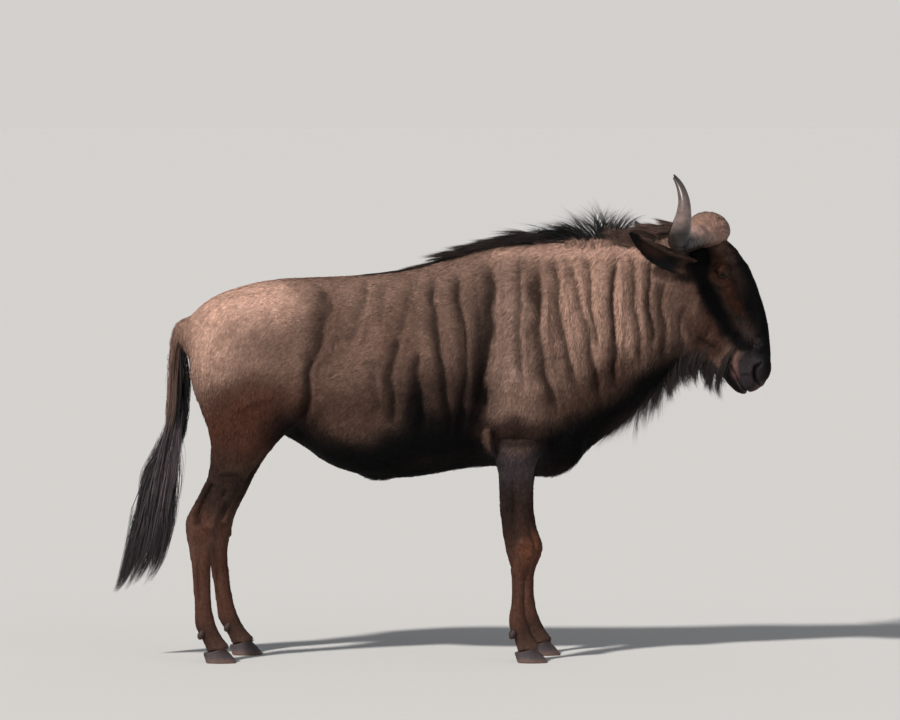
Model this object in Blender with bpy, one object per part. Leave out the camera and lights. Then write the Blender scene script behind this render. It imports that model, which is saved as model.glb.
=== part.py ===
"""A blue wildebeest bull, life size, standing still in profile with its head low.

The animal faces +X and stands on the soles of its hooves at Z = 0, with its middle plane on Y = 0.
Its right side, the one seen, is -Y. The body and the head are modelled whole and parted with thin cuts.
Hair, ears, horns, eyes and hooves are set against what they grow from.
Lengths are in metres.
"""

import math
import random
from dataclasses import dataclass

import bmesh
import bpy
from mathutils import Matrix, Vector
from mathutils.bvhtree import BVHTree

# Clearances and mesh sizes
GAP = 0.0003
CLEARANCE = 0.0006
BODY_VOXEL = 0.013
HEAD_VOXEL = 0.0065
BODY_FACES = 4450
HEAD_FACES = 2050
BODY_SMOOTHING = 8
HEAD_SMOOTHING = 3
SMOOTH_FACTOR = 0.5

# Where the body is parted
NECK_CUT = ((0.520, 1.10), (1.0, 0.10))
HEAD_CUT = ((0.800, 1.25), (1.0, -0.03))
THIGH_TOP = ((-0.500, 0.785), (-0.560, 0.850), (-0.930, 0.985))
ARM_TOP = ((0.352, 0.730), (0.338, 0.790), (0.300, 0.815), (0.170, 0.815), (0.136, 0.790), (0.122, 0.730))
THIGH_FLOOR = (-0.500, -0.930)
ARM_FLOOR = (0.480, 0.122)
HIND_INNER_Y = 0.030
FORE_INNER_Y = 0.062
LEG_OUTER_Y = 0.500
BELOW_FLOOR = -0.200
HIND_CUTS = (((-0.700, 0.690), (-0.25, 1.0)), ((-0.800, 0.400), (-0.12, 1.0)), ((-0.800, 0.175), (0.0, 1.0)))
FORE_CUTS = (((0.250, 0.590), (0.0, 1.0)), ((0.260, 0.330), (0.06, 1.0)), ((0.250, 0.175), (0.0, 1.0)))
HIND_NAMES = ("thigh", "shank", "hind_cannon", "hind_foot")
FORE_NAMES = ("upper_arm", "forearm", "fore_cannon", "fore_foot")

# Stance: the left legs stand a little ahead of the right ones
HIND_STEP = 0.078
FORE_STEP = 0.048
HIND_STEP_TOP = 0.850
FORE_STEP_TOP = 0.800

# Hooves
HOOF_LENGTH = 0.104
HOOF_WIDTH = 0.040
HOOF_CLEFT = 0.007
HOOF_HEIGHT = 0.048
HOOF_SLOPE = 0.26
HOOF_TOE_LEAN = 0.030
HOOF_HEEL_LEAN = 0.006
HOOF_BACKSET = 0.010
HOOF_LEVELS = (0.0, 0.45, 1.0)
HOOF_TOE_TAPER = 0.34
HOOF_INNER_SHARE = 0.30
HOOF_ROUNDING = 0.75
HOOF_SIDES = 12
CORONET_SHRINK = 0.88
DEWCLAW_RADII = (0.011, 0.011, 0.017)
DEWCLAW_TURN = 0.45
DEWCLAW_BACK = 0.068
DEWCLAW_ASIDE = 0.021
DEWCLAW_HEIGHT = 0.098
HIND_HOOF_X = -0.742
FORE_HOOF_X = 0.302

# Eyes
EYE_CENTRE = (0.938, 0.080, 1.309)
EYE_RADIUS = 0.0235
LID_THICKNESS = 0.0042
LID_OUTWARD = (0.16, 1.0, 0.06)
LID_FORWARD = (0.88, 0.0, -0.47)
LID_LENGTH = 0.040
LID_ABOVE = 0.0100
LID_BELOW = 0.0105
LID_STEPS = 14

# Ears
EAR_ROOT = (0.822, 0.100, 1.336)
EAR_TIPS = {"right": (0.626, 0.190, 1.442), "left": (0.655, 0.190, 1.468)}
EAR_HALF_WIDTH = 0.035
EAR_DEPTH = 0.026
EAR_THICKNESS = 0.008
EAR_FACING = (-0.10, 1.0, -0.35)
EAR_SUNK = 0.030
EAR_RINGS = 8
EAR_ACROSS = 5

# Horns
HORN_SIDES = 10
HORN_STEPS = 2
HORN_TIP_RADIUS = 0.003
HORN_PARTING = 0.003
HORN_TURN = -2.3
HORN_PIVOT = (0.870, 0.0, 1.450)

# Nostrils and mouth
NOSTRIL_RADIUS = 0.0095
NOSTRIL_END = 0.40
NOSTRIL_MIDDLE = (1.070, 0.968)
NOSTRIL_REACH = (0.026, 0.034)
NOSTRIL_SWEEP = (250.0, 100.0)
NOSTRIL_STEPS = 6
BESIDE_HEAD = 0.200
MOUTH_RADIUS = 0.0060
MOUTH_STEPS = 18
MOUTH_REACH = 0.110
MOUTH_ROUND = 1.04
MOUTH_DEPTH = 0.10
MOUTH_FRONT = (1.030, 0.893)
MOUTH_CORNER = (0.958, 1.000)


@dataclass(frozen=True)
class Station:
    """One cross-section: two outline points in the XZ plane, and how the section fills the width.

    widest is where, from the first point (0) to the last (1), the section is widest.
    fullness under 1 squares the section off and over 1 pinches it.
    """

    first: tuple
    last: tuple
    half_width: float
    centre_y: float = 0.0
    widest: float = 0.5
    fullness: float = 1.0


TRUNK = (
    Station((-0.878, 1.120), (-0.868, 1.040), 0.040),
    Station((-0.835, 1.180), (-0.838, 0.960), 0.112, widest=0.50),
    Station((-0.760, 1.234), (-0.765, 0.880), 0.158, widest=0.50, fullness=0.85),
    Station((-0.633, 1.274), (-0.633, 0.800), 0.176, widest=0.46, fullness=0.80),
    Station((-0.500, 1.289), (-0.500, 0.735), 0.182, widest=0.48, fullness=0.82),
    Station((-0.380, 1.296), (-0.380, 0.655), 0.195, widest=0.53, fullness=0.86),
    Station((-0.240, 1.306), (-0.235, 0.616), 0.207, widest=0.55, fullness=0.86),
    Station((-0.090, 1.328), (-0.090, 0.616), 0.208, widest=0.57, fullness=0.90),
    Station((0.060, 1.375), (0.055, 0.640), 0.196, widest=0.58, fullness=1.00),
    Station((0.190, 1.418), (0.180, 0.648), 0.184, widest=0.57, fullness=1.10),
    Station((0.310, 1.432), (0.305, 0.615), 0.176, widest=0.57, fullness=1.12),
    Station((0.420, 1.430), (0.415, 0.630), 0.162, widest=0.55, fullness=1.05),
    Station((0.510, 1.424), (0.500, 0.716), 0.138, widest=0.52, fullness=1.00),
    Station((0.600, 1.426), (0.600, 0.790), 0.117, widest=0.48, fullness=0.95),
    Station((0.690, 1.440), (0.700, 0.890), 0.106, widest=0.49, fullness=0.95),
    Station((0.770, 1.458), (0.790, 0.985), 0.096, widest=0.48, fullness=0.92),
    Station((0.840, 1.440), (0.850, 1.060), 0.084, widest=0.46, fullness=0.90),
    Station((0.900, 1.400), (0.900, 1.150), 0.050, widest=0.45, fullness=0.95),
)

NAPE_STATIONS = 5
NAPE_SKULL_STATIONS = 6

HEAD = (
    Station((0.740, 1.430), (0.700, 1.260), 0.060),
    Station((0.810, 1.466), (0.738, 1.190), 0.084, widest=0.40, fullness=0.85),
    Station((0.872, 1.462), (0.760, 1.128), 0.086, widest=0.36, fullness=0.85),
    Station((0.934, 1.430), (0.782, 1.078), 0.084, widest=0.34, fullness=0.85),
    Station((0.984, 1.386), (0.810, 1.048), 0.080, widest=0.36, fullness=0.85),
    Station((1.024, 1.330), (0.842, 1.030), 0.073, widest=0.40, fullness=0.85),
    Station((1.051, 1.268), (0.872, 1.013), 0.069, widest=0.42, fullness=0.84),
    Station((1.074, 1.202), (0.899, 0.997), 0.062, widest=0.42, fullness=0.82),
    Station((1.093, 1.130), (0.923, 0.977), 0.060, widest=0.42, fullness=0.80),
    Station((1.103, 1.063), (0.941, 0.954), 0.066, widest=0.42, fullness=0.76),
    Station((1.105, 1.012), (0.962, 0.926), 0.073, widest=0.42, fullness=0.74),
    Station((1.099, 0.962), (0.992, 0.903), 0.070, widest=0.44, fullness=0.74),
    Station((1.082, 0.925), (1.028, 0.900), 0.050, widest=0.50, fullness=0.80),
)

HIND_LEG = (
    Station((-0.490, 1.200), (-0.790, 1.180), 0.050, 0.095),
    Station((-0.480, 1.090), (-0.840, 1.090), 0.078, 0.108),
    Station((-0.458, 0.990), (-0.854, 0.995), 0.084, 0.116),
    Station((-0.452, 0.905), (-0.846, 0.925), 0.078, 0.122, widest=0.45),
    Station((-0.478, 0.822), (-0.818, 0.850), 0.066, 0.128, widest=0.42),
    Station((-0.545, 0.742), (-0.790, 0.770), 0.056, 0.130, widest=0.45),
    Station((-0.605, 0.680), (-0.785, 0.694), 0.048, 0.130),
    Station((-0.655, 0.612), (-0.796, 0.620), 0.040, 0.128),
    Station((-0.697, 0.545), (-0.834, 0.540), 0.034, 0.126, widest=0.35),
    Station((-0.730, 0.492), (-0.868, 0.482), 0.036, 0.126, widest=0.40),
    Station((-0.750, 0.438), (-0.867, 0.436), 0.036, 0.128),
    Station((-0.768, 0.377), (-0.856, 0.377), 0.030, 0.131),
    Station((-0.775, 0.310), (-0.847, 0.310), 0.025, 0.134),
    Station((-0.773, 0.220), (-0.840, 0.220), 0.024, 0.137),
    Station((-0.766, 0.160), (-0.838, 0.160), 0.028, 0.139),
    Station((-0.754, 0.120), (-0.836, 0.122), 0.033, 0.140),
    Station((-0.736, 0.085), (-0.814, 0.082), 0.033, 0.140),
    Station((-0.706, 0.050), (-0.796, 0.040), 0.038, 0.141),
    Station((-0.692, 0.022), (-0.788, 0.012), 0.041, 0.141),
)

FORE_LEG = (
    Station((0.360, 1.260), (0.170, 1.280), 0.040, 0.096),
    Station((0.400, 1.150), (0.110, 1.170), 0.066, 0.112),
    Station((0.412, 1.030), (0.092, 1.050), 0.074, 0.120),
    Station((0.400, 0.920), (0.096, 0.930), 0.072, 0.126),
    Station((0.372, 0.820), (0.118, 0.830), 0.064, 0.130),
    Station((0.336, 0.720), (0.160, 0.725), 0.052, 0.132),
    Station((0.312, 0.640), (0.178, 0.640), 0.043, 0.131),
    Station((0.298, 0.556), (0.184, 0.556), 0.036, 0.129),
    Station((0.296, 0.475), (0.190, 0.475), 0.034, 0.127),
    Station((0.304, 0.420), (0.198, 0.420), 0.038, 0.127),
    Station((0.317, 0.376), (0.208, 0.370), 0.041, 0.127),
    Station((0.308, 0.332), (0.219, 0.328), 0.036, 0.127),
    Station((0.286, 0.290), (0.224, 0.290), 0.028, 0.128),
    Station((0.279, 0.220), (0.226, 0.220), 0.025, 0.129),
    Station((0.281, 0.165), (0.219, 0.165), 0.028, 0.130),
    Station((0.292, 0.125), (0.217, 0.125), 0.033, 0.130),
    Station((0.308, 0.088), (0.234, 0.080), 0.033, 0.130),
    Station((0.334, 0.050), (0.246, 0.040), 0.038, 0.131),
    Station((0.346, 0.022), (0.252, 0.012), 0.041, 0.131),
)


@dataclass(frozen=True)
class Swelling:
    """A muscle or bone that lifts the surface: an ellipsoid, turned about Y, on each side of the body."""

    centre: tuple
    radii: tuple
    turn: float = 0.0


BODY_SWELLINGS = (
    Swelling((0.262, 0.078, 1.050), (0.130, 0.088, 0.240), 0.16),
    Swelling((0.175, 0.125, 0.820), (0.080, 0.045, 0.100), 0.0),
    Swelling((0.385, 0.060, 0.870), (0.100, 0.082, 0.220), -0.20),
    Swelling((-0.620, 0.110, 1.080), (0.210, 0.082, 0.170), 0.0),
    Swelling((-0.500, 0.150, 0.880), (0.050, 0.040, 0.110), 0.25),
    Swelling((-0.225, 0.0, 0.640), (0.075, 0.035, 0.040), 0.15),
    Swelling((0.600, 0.046, 1.120), (0.105, 0.064, 0.270), 0.50),
)

HEAD_SWELLINGS = (
    Swelling((0.925, 0.064, 1.332), (0.046, 0.030, 0.044), 0.0),
    Swelling((0.850, 0.052, 1.165), (0.066, 0.032, 0.108), 0.55),
    Swelling((1.072, 0.050, 0.985), (0.034, 0.030, 0.052), 0.10),
    Swelling((1.010, 0.030, 0.925), (0.034, 0.042, 0.026), 0.50),
    Swelling((0.826, 0.070, 1.330), (0.040, 0.034, 0.044), 0.0),
    Swelling((0.808, 0.0, 1.080), (0.060, 0.058, 0.066), 0.30),
)


@dataclass(frozen=True)
class Bend:
    """One point on a curved form's middle line, with the half sizes of its section there."""

    point: tuple
    across: float
    along: float


HORN = (
    Bend((0.893, -0.020, 1.460), 0.045, 0.064),
    Bend((0.888, 0.045, 1.460), 0.047, 0.062),
    Bend((0.862, 0.110, 1.440), 0.042, 0.052),
    Bend((0.824, 0.175, 1.418), 0.037, 0.043),
    Bend((0.797, 0.240, 1.416), 0.036, 0.038),
    Bend((0.800, 0.292, 1.445), 0.033, 0.034),
    Bend((0.810, 0.316, 1.492), 0.027, 0.027),
    Bend((0.811, 0.318, 1.545), 0.019, 0.019),
    Bend((0.798, 0.304, 1.594), 0.011, 0.011),
    Bend((0.777, 0.286, 1.629), HORN_TIP_RADIUS, HORN_TIP_RADIUS),
)

DOCK = (
    Bend((-0.840, 0.0, 1.140), 0.026, 0.028),
    Bend((-0.885, 0.0, 1.120), 0.026, 0.030),
    Bend((-0.907, 0.0, 1.050), 0.022, 0.026),
    Bend((-0.914, 0.0, 0.950), 0.019, 0.024),
    Bend((-0.924, 0.0, 0.850), 0.020, 0.026),
    Bend((-0.936, 0.0, 0.760), 0.022, 0.030),
    Bend((-0.955, 0.0, 0.640), 0.014, 0.022),
)

TAIL_LINE = (
    (-0.885, 0.0, 1.120),
    (-0.904, 0.0, 1.050),
    (-0.912, 0.0, 0.950),
    (-0.923, 0.0, 0.840),
    (-0.940, 0.0, 0.720),
    (-0.962, 0.0, 0.590),
    (-0.988, 0.0, 0.460),
    (-1.022, 0.0, 0.340),
    (-1.068, 0.0, 0.230),
)


@dataclass(frozen=True)
class LockBed:
    """A stretch of skin that carries long hair, and how its locks lie.

    start and end are the root line in the XZ plane, with the hair on the left of the way between them.
    spread is how far the roots lie to each side of the middle plane. The angles are degrees in the XZ
    plane, 0 towards the nose and 90 straight up. curl is how far a lock turns from its root to its tip,
    splay is how far it leaves the middle plane, as a share of the length, sunk is how deep its root
    lies, and stray is how far its direction may differ.
    """

    start: tuple
    end: tuple
    count: int
    spread: float
    length: float
    angle_start: float
    angle_end: float
    curl: float
    splay: float
    sunk: float
    width: float
    stray: float = 8.0


MANE_BEDS = (
    LockBed((-0.110, 1.324), (0.150, 1.400), 4, 0.012, 0.180, 166, 158, 36, 0.10, 0.014, 0.044),
    LockBed((0.160, 1.408), (0.420, 1.432), 7, 0.024, 0.180, 156, 150, 50, 0.25, 0.014, 0.046),
    LockBed((0.420, 1.430), (0.500, 1.426), 3, 0.018, 0.110, 148, 136, 34, 0.12, 0.014, 0.036),
    LockBed((0.495, 1.424), (0.580, 1.424), 7, 0.018, 0.125, 122, 74, 6, 0.12, 0.016, 0.027),
    LockBed((0.580, 1.426), (0.650, 1.432), 3, 0.022, 0.110, 98, 132, 40, 0.20, 0.016, 0.038),
    LockBed((0.650, 1.434), (0.800, 1.456), 8, 0.032, 0.150, 156, 156, 32, 0.50, 0.016, 0.048),
)

BEARD_BEDS = (
    LockBed((0.776, 1.006), (0.680, 0.892), 7, 0.026, 0.160, 252, 230, 14, 0.10, 0.030, 0.044),
    LockBed((0.680, 0.885), (0.580, 0.800), 5, 0.026, 0.140, 232, 218, 10, 0.10, 0.028, 0.046),
)

JAW_BEDS = (
    LockBed((0.936, 0.966), (0.824, 1.060), 9, 0.034, 0.140, 260, 244, 30, 0.12, 0.024, 0.040),
)

LOCK_SEED = 11
LOCK_STEPS = 4
LOCK_FLATNESS = 0.32
LOCK_TAPER = 1.8
LOCK_WAIST = 0.20
LENGTH_VARIES = (0.80, 1.15)
WIDTH_VARIES = (0.85, 1.15)
CURL_VARIES = (0.5, 1.4)
SPLAY_VARIES = (0.3, 1.2)
ROOT_SEARCH = 0.300

TAIL_SEED = 5
TAIL_STEPS = 5
TAIL_SPACING = 0.382
TAIL_NARROWING = 0.75
TAIL_CUT = ((-0.930, 0.800), (0.0, 1.0))


@dataclass(frozen=True)
class TailBed:
    """Locks that grow round a stretch of the tail. Places run from the root (0) to the tip (1)."""

    count: int
    start_from: float
    start_to: float
    end_from: float
    end_to: float
    turn_from: float
    turn_to: float
    root_radius: float
    far_radius: float
    width: float


TAIL_BEDS = (
    TailBed(5, 0.02, 0.32, 0.56, 0.72, -60, 60, 0.018, 0.062, 0.044),
    TailBed(5, 0.36, 0.46, 0.80, 0.95, 0, 360, 0.016, 0.060, 0.054),
    TailBed(9, 0.44, 0.60, 0.88, 1.00, 0, 360, 0.016, 0.062, 0.048),
)


def finish(name, colour, roughness):
    """A plain surface finish for one kind of tissue."""
    material = bpy.data.materials.new(name)
    material.use_nodes = True
    shader = material.node_tree.nodes["Principled BSDF"]
    shader.inputs["Base Color"].default_value = (*colour, 1.0)
    shader.inputs["Roughness"].default_value = roughness
    shader.inputs["Metallic"].default_value = 0.0
    return material


def mesh_object(name, points, faces):
    """A new object from points and faces, with its faces turned outwards."""
    mesh = bpy.data.meshes.new(name)
    mesh.from_pydata([tuple(point) for point in points], [], faces)
    shape = bmesh.new()
    shape.from_mesh(mesh)
    bmesh.ops.recalc_face_normals(shape, faces=shape.faces)
    bmesh.ops.triangulate(shape, faces=[face for face in shape.faces if len(face.verts) > 4])
    shape.to_mesh(mesh)
    shape.free()
    item = bpy.data.objects.new(name, mesh)
    bpy.context.scene.collection.objects.link(item)
    return item


def discard(item):
    """Remove a helper object."""
    bpy.data.objects.remove(item, do_unlink=True)


def settle(item):
    """Replace an object's mesh with what its modifiers make of it."""
    graph = bpy.context.evaluated_depsgraph_get()
    mesh = bpy.data.meshes.new_from_object(item.evaluated_get(graph))
    item.modifiers.clear()
    item.data = mesh
    return item


def copy_of(item, name):
    """A second object with its own mesh."""
    twin = item.copy()
    twin.data = item.data.copy()
    twin.name = name
    bpy.context.scene.collection.objects.link(twin)
    return twin


def through(values, place):
    """The value at a place along a smooth curve through evenly spaced values."""
    last = len(values) - 1
    start = min(int(place), last - 1)
    part = place - start
    before = values[max(start - 1, 0)]
    here = values[start]
    there = values[start + 1]
    after = values[min(start + 2, last)]
    return 0.5 * (
        2 * here
        + (there - before) * part
        + (2 * before - 5 * here + 4 * there - after) * part ** 2
        + (3 * here - before - 3 * there + after) * part ** 3
    )


def refined(stations, steps):
    """Stations with smooth ones added between them."""
    rows = [
        (*one.first, *one.last, one.half_width, one.centre_y, one.widest, one.fullness)
        for one in stations
    ]
    columns = list(zip(*rows))
    finer = []
    for index in range((len(rows) - 1) * steps + 1):
        row = [through(column, index / steps) for column in columns]
        finer.append(Station((row[0], row[1]), (row[2], row[3]), *row[4:]))
    return finer


def section(station, sides):
    """The ring of points of one station."""
    first = Vector((station.first[0], 0, station.first[1]))
    last = Vector((station.last[0], 0, station.last[1]))
    skew = math.log(station.widest) / math.log(0.5)
    ring = []
    for index in range(sides):
        turn = 2 * math.pi * index / sides
        along = ((1 - math.cos(turn)) / 2) ** skew
        wide = math.copysign(abs(math.sin(turn)) ** station.fullness, math.sin(turn))
        point = first.lerp(last, along)
        point.y = station.centre_y + station.half_width * wide
        ring.append(point)
    return ring


def tube_faces(rings, sides, closed_ends=True):
    """The faces that join rings of points one after another."""
    faces = []
    for ring in range(rings - 1):
        for side in range(sides):
            near = ring * sides + side
            next_near = ring * sides + (side + 1) % sides
            faces.append((near, next_near, next_near + sides, near + sides))
    if closed_ends:
        faces.append(tuple(range(sides)))
        faces.append(tuple(range((rings - 1) * sides, rings * sides)))
    return faces


def loft(name, stations, sides, steps=2):
    """A closed form through the stations."""
    finer = refined(stations, steps)
    points = [point for station in finer for point in section(station, sides)]
    return mesh_object(name, points, tube_faces(len(finer), sides))


def swept(name, bends, sides, steps, side_sign=1.0):
    """A closed form along a bent middle line. Its section's long way lies in the plane of the bend and X."""
    rows = [(*bend.point, bend.across, bend.along) for bend in bends]
    columns = list(zip(*rows))
    count = (len(rows) - 1) * steps + 1
    line = [[through(column, index / steps) for column in columns] for index in range(count)]
    points = []
    for index, row in enumerate(line):
        here = Vector(row[:3])
        back = Vector(line[max(index - 1, 0)][:3])
        ahead = Vector(line[min(index + 1, count - 1)][:3])
        direction = (ahead - back).normalized()
        forward = Vector((1, 0, 0))
        forward = (forward - direction * forward.dot(direction)).normalized()
        upward = direction.cross(forward).normalized()
        for side in range(sides):
            turn = 2 * math.pi * side / sides
            offset = forward * (row[4] * math.cos(turn)) + upward * (row[3] * math.sin(turn))
            place = here + offset
            points.append((place.x, place.y * side_sign, place.z))
    return mesh_object(name, points, tube_faces(count, sides))


def ellipsoid(name, centre, radii, turn=0.0, segments=16, rings=10):
    """A closed ellipsoid, turned about Y."""
    mesh = bpy.data.meshes.new(name)
    shape = bmesh.new()
    place = Matrix.Translation(centre) @ Matrix.Rotation(turn, 4, "Y") @ Matrix.Diagonal((*radii, 1.0))
    bmesh.ops.create_uvsphere(shape, u_segments=segments, v_segments=rings, radius=1.0, matrix=place)
    shape.to_mesh(mesh)
    shape.free()
    item = bpy.data.objects.new(name, mesh)
    bpy.context.scene.collection.objects.link(item)
    return item


def both_sides(swelling, name):
    """The ellipsoids of one swelling, on each side of the middle plane."""
    made = []
    signs = (-1, 1) if swelling.centre[1] else (1,)
    for sign in signs:
        centre = (swelling.centre[0], sign * swelling.centre[1], swelling.centre[2])
        made.append(ellipsoid(name, centre, swelling.radii, swelling.turn))
    return made


def joined(name, items):
    """One object that holds the meshes of several."""
    shape = bmesh.new()
    for item in items:
        item.data.transform(item.matrix_world)
        shape.from_mesh(item.data)
    mesh = bpy.data.meshes.new(name)
    shape.to_mesh(mesh)
    shape.free()
    for item in items:
        discard(item)
    whole = bpy.data.objects.new(name, mesh)
    bpy.context.scene.collection.objects.link(whole)
    return whole


def melded(name, items, voxel, smoothing, faces):
    """One smooth closed skin around overlapping forms, with about the given number of faces."""
    whole = joined(name, items)
    remesh = whole.modifiers.new("Meld", "REMESH")
    remesh.mode = "VOXEL"
    remesh.voxel_size = voxel
    soften = whole.modifiers.new("Soften", "SMOOTH")
    soften.factor = SMOOTH_FACTOR
    soften.iterations = smoothing
    settle(whole)
    triangles = sum(len(face.vertices) - 2 for face in whole.data.polygons)
    thin = whole.modifiers.new("Thin out", "DECIMATE")
    thin.ratio = min(1.0, faces / triangles)
    thin.use_collapse_triangulate = True
    return settle(whole)


def boolean(item, others, operation, solver="EXACT"):
    """Unite an object with others, or take them from it, and discard them."""
    tools = bpy.data.collections.new("Tools")
    for other in others:
        tools.objects.link(other)
    step = item.modifiers.new(operation.title(), "BOOLEAN")
    step.operation = operation
    step.solver = solver
    step.operand_type = "COLLECTION"
    step.collection = tools
    settle(item)
    for other in others:
        discard(other)
    bpy.data.collections.remove(tools)
    return largest_surface(item)


def largest_surface(item):
    """Keep only the largest closed surface of an object."""
    shape = bmesh.new()
    shape.from_mesh(item.data)
    bmesh.ops.triangulate(shape, faces=shape.faces)
    unseen = set(shape.faces)
    islands = []
    while unseen:
        island = {unseen.pop()}
        edge_of = list(island)
        while edge_of:
            face = edge_of.pop()
            for edge in face.edges:
                for near in edge.link_faces:
                    if near in unseen:
                        unseen.discard(near)
                        island.add(near)
                        edge_of.append(near)
        islands.append(island)
    islands.sort(key=lambda island: sum(face.calc_area() for face in island))
    for island in islands[:-1]:
        bmesh.ops.delete(shape, geom=list(island), context="FACES")
    shape.to_mesh(item.data)
    shape.free()
    return item


def swollen(item, name, amount):
    """A copy with its surface moved out by an amount."""
    twin = copy_of(item, name)
    shape = bmesh.new()
    shape.from_mesh(twin.data)
    shape.normal_update()
    moves = [vertex.normal * amount for vertex in shape.verts]
    for vertex, move in zip(shape.verts, moves):
        vertex.co += move
    shape.to_mesh(twin.data)
    shape.free()
    return twin


def clear_of(item, others, solver="EXACT"):
    """Cut an object clear of others by the clearance."""
    cutters = [swollen(other, "Cutter", CLEARANCE) for other in others]
    for cutter in cutters:
        boolean(item, [cutter], "DIFFERENCE", solver)
    return item


def prism(name, outline, y_from, y_to):
    """A closed block from an outline in the XZ plane."""
    count = len(outline)
    points = [(x, y_from, z) for x, z in outline] + [(x, y_to, z) for x, z in outline]
    return mesh_object(name, points, tube_faces(2, count))


def at_plane(place):
    """The point of a cut's plane in space."""
    return Vector((place[0][0], 0, place[0][1]))


def plane_cut(item, place, name_beyond):
    """Part an object at a plane through the width. The side that the normal points to gets the new name."""
    normal = Vector((place[1][0], 0, place[1][1])).normalized()
    point = at_plane(place)
    beyond = copy_of(item, name_beyond)
    half_space(item, point - normal * GAP / 2, normal)
    half_space(beyond, point + normal * GAP / 2, -normal)
    return beyond


def half_space(item, point, normal):
    """Keep the part of an object behind a plane, and close it there."""
    shape = bmesh.new()
    shape.from_mesh(item.data)
    everything = list(shape.verts) + list(shape.edges) + list(shape.faces)
    cut = bmesh.ops.bisect_plane(shape, geom=everything, plane_co=point, plane_no=normal, clear_outer=True)
    rim = [piece for piece in cut["geom_cut"] if isinstance(piece, bmesh.types.BMEdge)]
    bmesh.ops.triangle_fill(shape, use_beauty=True, edges=rim, normal=normal)
    bmesh.ops.recalc_face_normals(shape, faces=shape.faces)
    shape.to_mesh(item.data)
    shape.free()
    largest_surface(item)


def leg_stations(stations, sign, step, step_top):
    """A leg's stations on one side, the foot moved ahead by the step."""
    moved = []
    for one in stations:
        shift = step * max(0.0, 1 - one.first[1] / step_top)
        first = (one.first[0] + shift, one.first[1])
        last = (one.last[0] + shift, one.last[1])
        moved.append(Station(first, last, one.half_width, sign * one.centre_y, one.widest, one.fullness))
    return moved


def body_core():
    """Trunk, neck and legs as one smooth form."""
    forms = [loft("Trunk", TRUNK, 28), loft("Nape skull", HEAD[:NAPE_SKULL_STATIONS], 24)]
    for sign in (-1, 1):
        hind_step = HIND_STEP if sign > 0 else 0.0
        fore_step = FORE_STEP if sign > 0 else 0.0
        forms.append(loft("Hind leg", leg_stations(HIND_LEG, sign, hind_step, HIND_STEP_TOP), 16))
        forms.append(loft("Fore leg", leg_stations(FORE_LEG, sign, fore_step, FORE_STEP_TOP), 16))
    for swelling in BODY_SWELLINGS:
        forms.extend(both_sides(swelling, "Muscle"))
    return melded("torso", forms, BODY_VOXEL, BODY_SMOOTHING, BODY_FACES)


def head_core():
    """The head and the end of the neck, without horns, ears and eyes."""
    forms = [loft("Skull", HEAD, 24), loft("Nape", TRUNK[-NAPE_STATIONS:], 28)]
    for swelling in HEAD_SWELLINGS:
        forms.extend(both_sides(swelling, "Swelling"))
    return melded("head", forms, HEAD_VOXEL, HEAD_SMOOTHING, HEAD_FACES)


def arc_tube(name, points, radii, sides=5):
    """A closed tube through points that already curve, tapered by its radii."""
    rings = []
    count = len(points)
    for index, point in enumerate(points):
        back = points[max(index - 1, 0)]
        ahead = points[min(index + 1, count - 1)]
        direction = (ahead - back).normalized()
        across = direction.orthogonal().normalized()
        if index:
            across = (last_across - direction * last_across.dot(direction)).normalized()
        last_across = across
        upward = direction.cross(across)
        for side in range(sides):
            turn = 2 * math.pi * side / sides
            rings.append(point + (across * math.cos(turn) + upward * math.sin(turn)) * radii[index])
    return mesh_object(name, rings, tube_faces(count, sides))


def surface_tree(item):
    """A search tree over an object's surface."""
    shape = bmesh.new()
    shape.from_mesh(item.data)
    tree = BVHTree.FromBMesh(shape)
    shape.free()
    return tree


def eye_centre(sign):
    """The middle of the eyeball on one side."""
    return Vector((EYE_CENTRE[0], sign * EYE_CENTRE[1], EYE_CENTRE[2]))


def lid_shell(sign):
    """The ball of skin that the lids are cut from."""
    return ellipsoid("Lids", eye_centre(sign), (EYE_RADIUS + LID_THICKNESS,) * 3, 0.0, 12, 8)


def lid_opening(sign):
    """The almond between the lids, drawn out through them."""
    outward = Vector((LID_OUTWARD[0], sign * LID_OUTWARD[1], LID_OUTWARD[2])).normalized()
    forward = Vector(LID_FORWARD)
    forward = (forward - outward * forward.dot(outward)).normalized()
    upward = outward.cross(forward) * -sign
    outline = []
    for step in range(LID_STEPS):
        turn = 2 * math.pi * step / LID_STEPS
        height = LID_ABOVE if math.sin(turn) > 0 else -LID_BELOW
        outline.append(forward * (math.cos(turn) * LID_LENGTH / 2) + upward * (height * math.sin(turn) ** 2))
    near = eye_centre(sign) + outward * EYE_RADIUS * 0.5
    far = eye_centre(sign) + outward * EYE_RADIUS * 2.5
    points = [near + point for point in outline] + [far + point for point in outline]
    return mesh_object("Lid opening", points, tube_faces(2, LID_STEPS))


def nostril_cutter(tree, sign):
    """A crescent pit in the end of the muzzle."""
    line = []
    radii = []
    for index in range(NOSTRIL_STEPS + 1):
        part = index / NOSTRIL_STEPS
        sweep = math.radians(NOSTRIL_SWEEP[0] + (NOSTRIL_SWEEP[1] - NOSTRIL_SWEEP[0]) * part)
        x = NOSTRIL_MIDDLE[0] + NOSTRIL_REACH[0] * math.cos(sweep)
        z = NOSTRIL_MIDDLE[1] + NOSTRIL_REACH[1] * math.sin(sweep)
        origin = Vector((x, sign * BESIDE_HEAD, z))
        hit = tree.ray_cast(origin, Vector((0, -sign, 0)))[0]
        line.append(hit)
        radii.append(NOSTRIL_RADIUS * (NOSTRIL_END + (1 - NOSTRIL_END) * math.sin(math.pi * part)))
    return arc_tube("Nostril", line, radii, 6)


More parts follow.
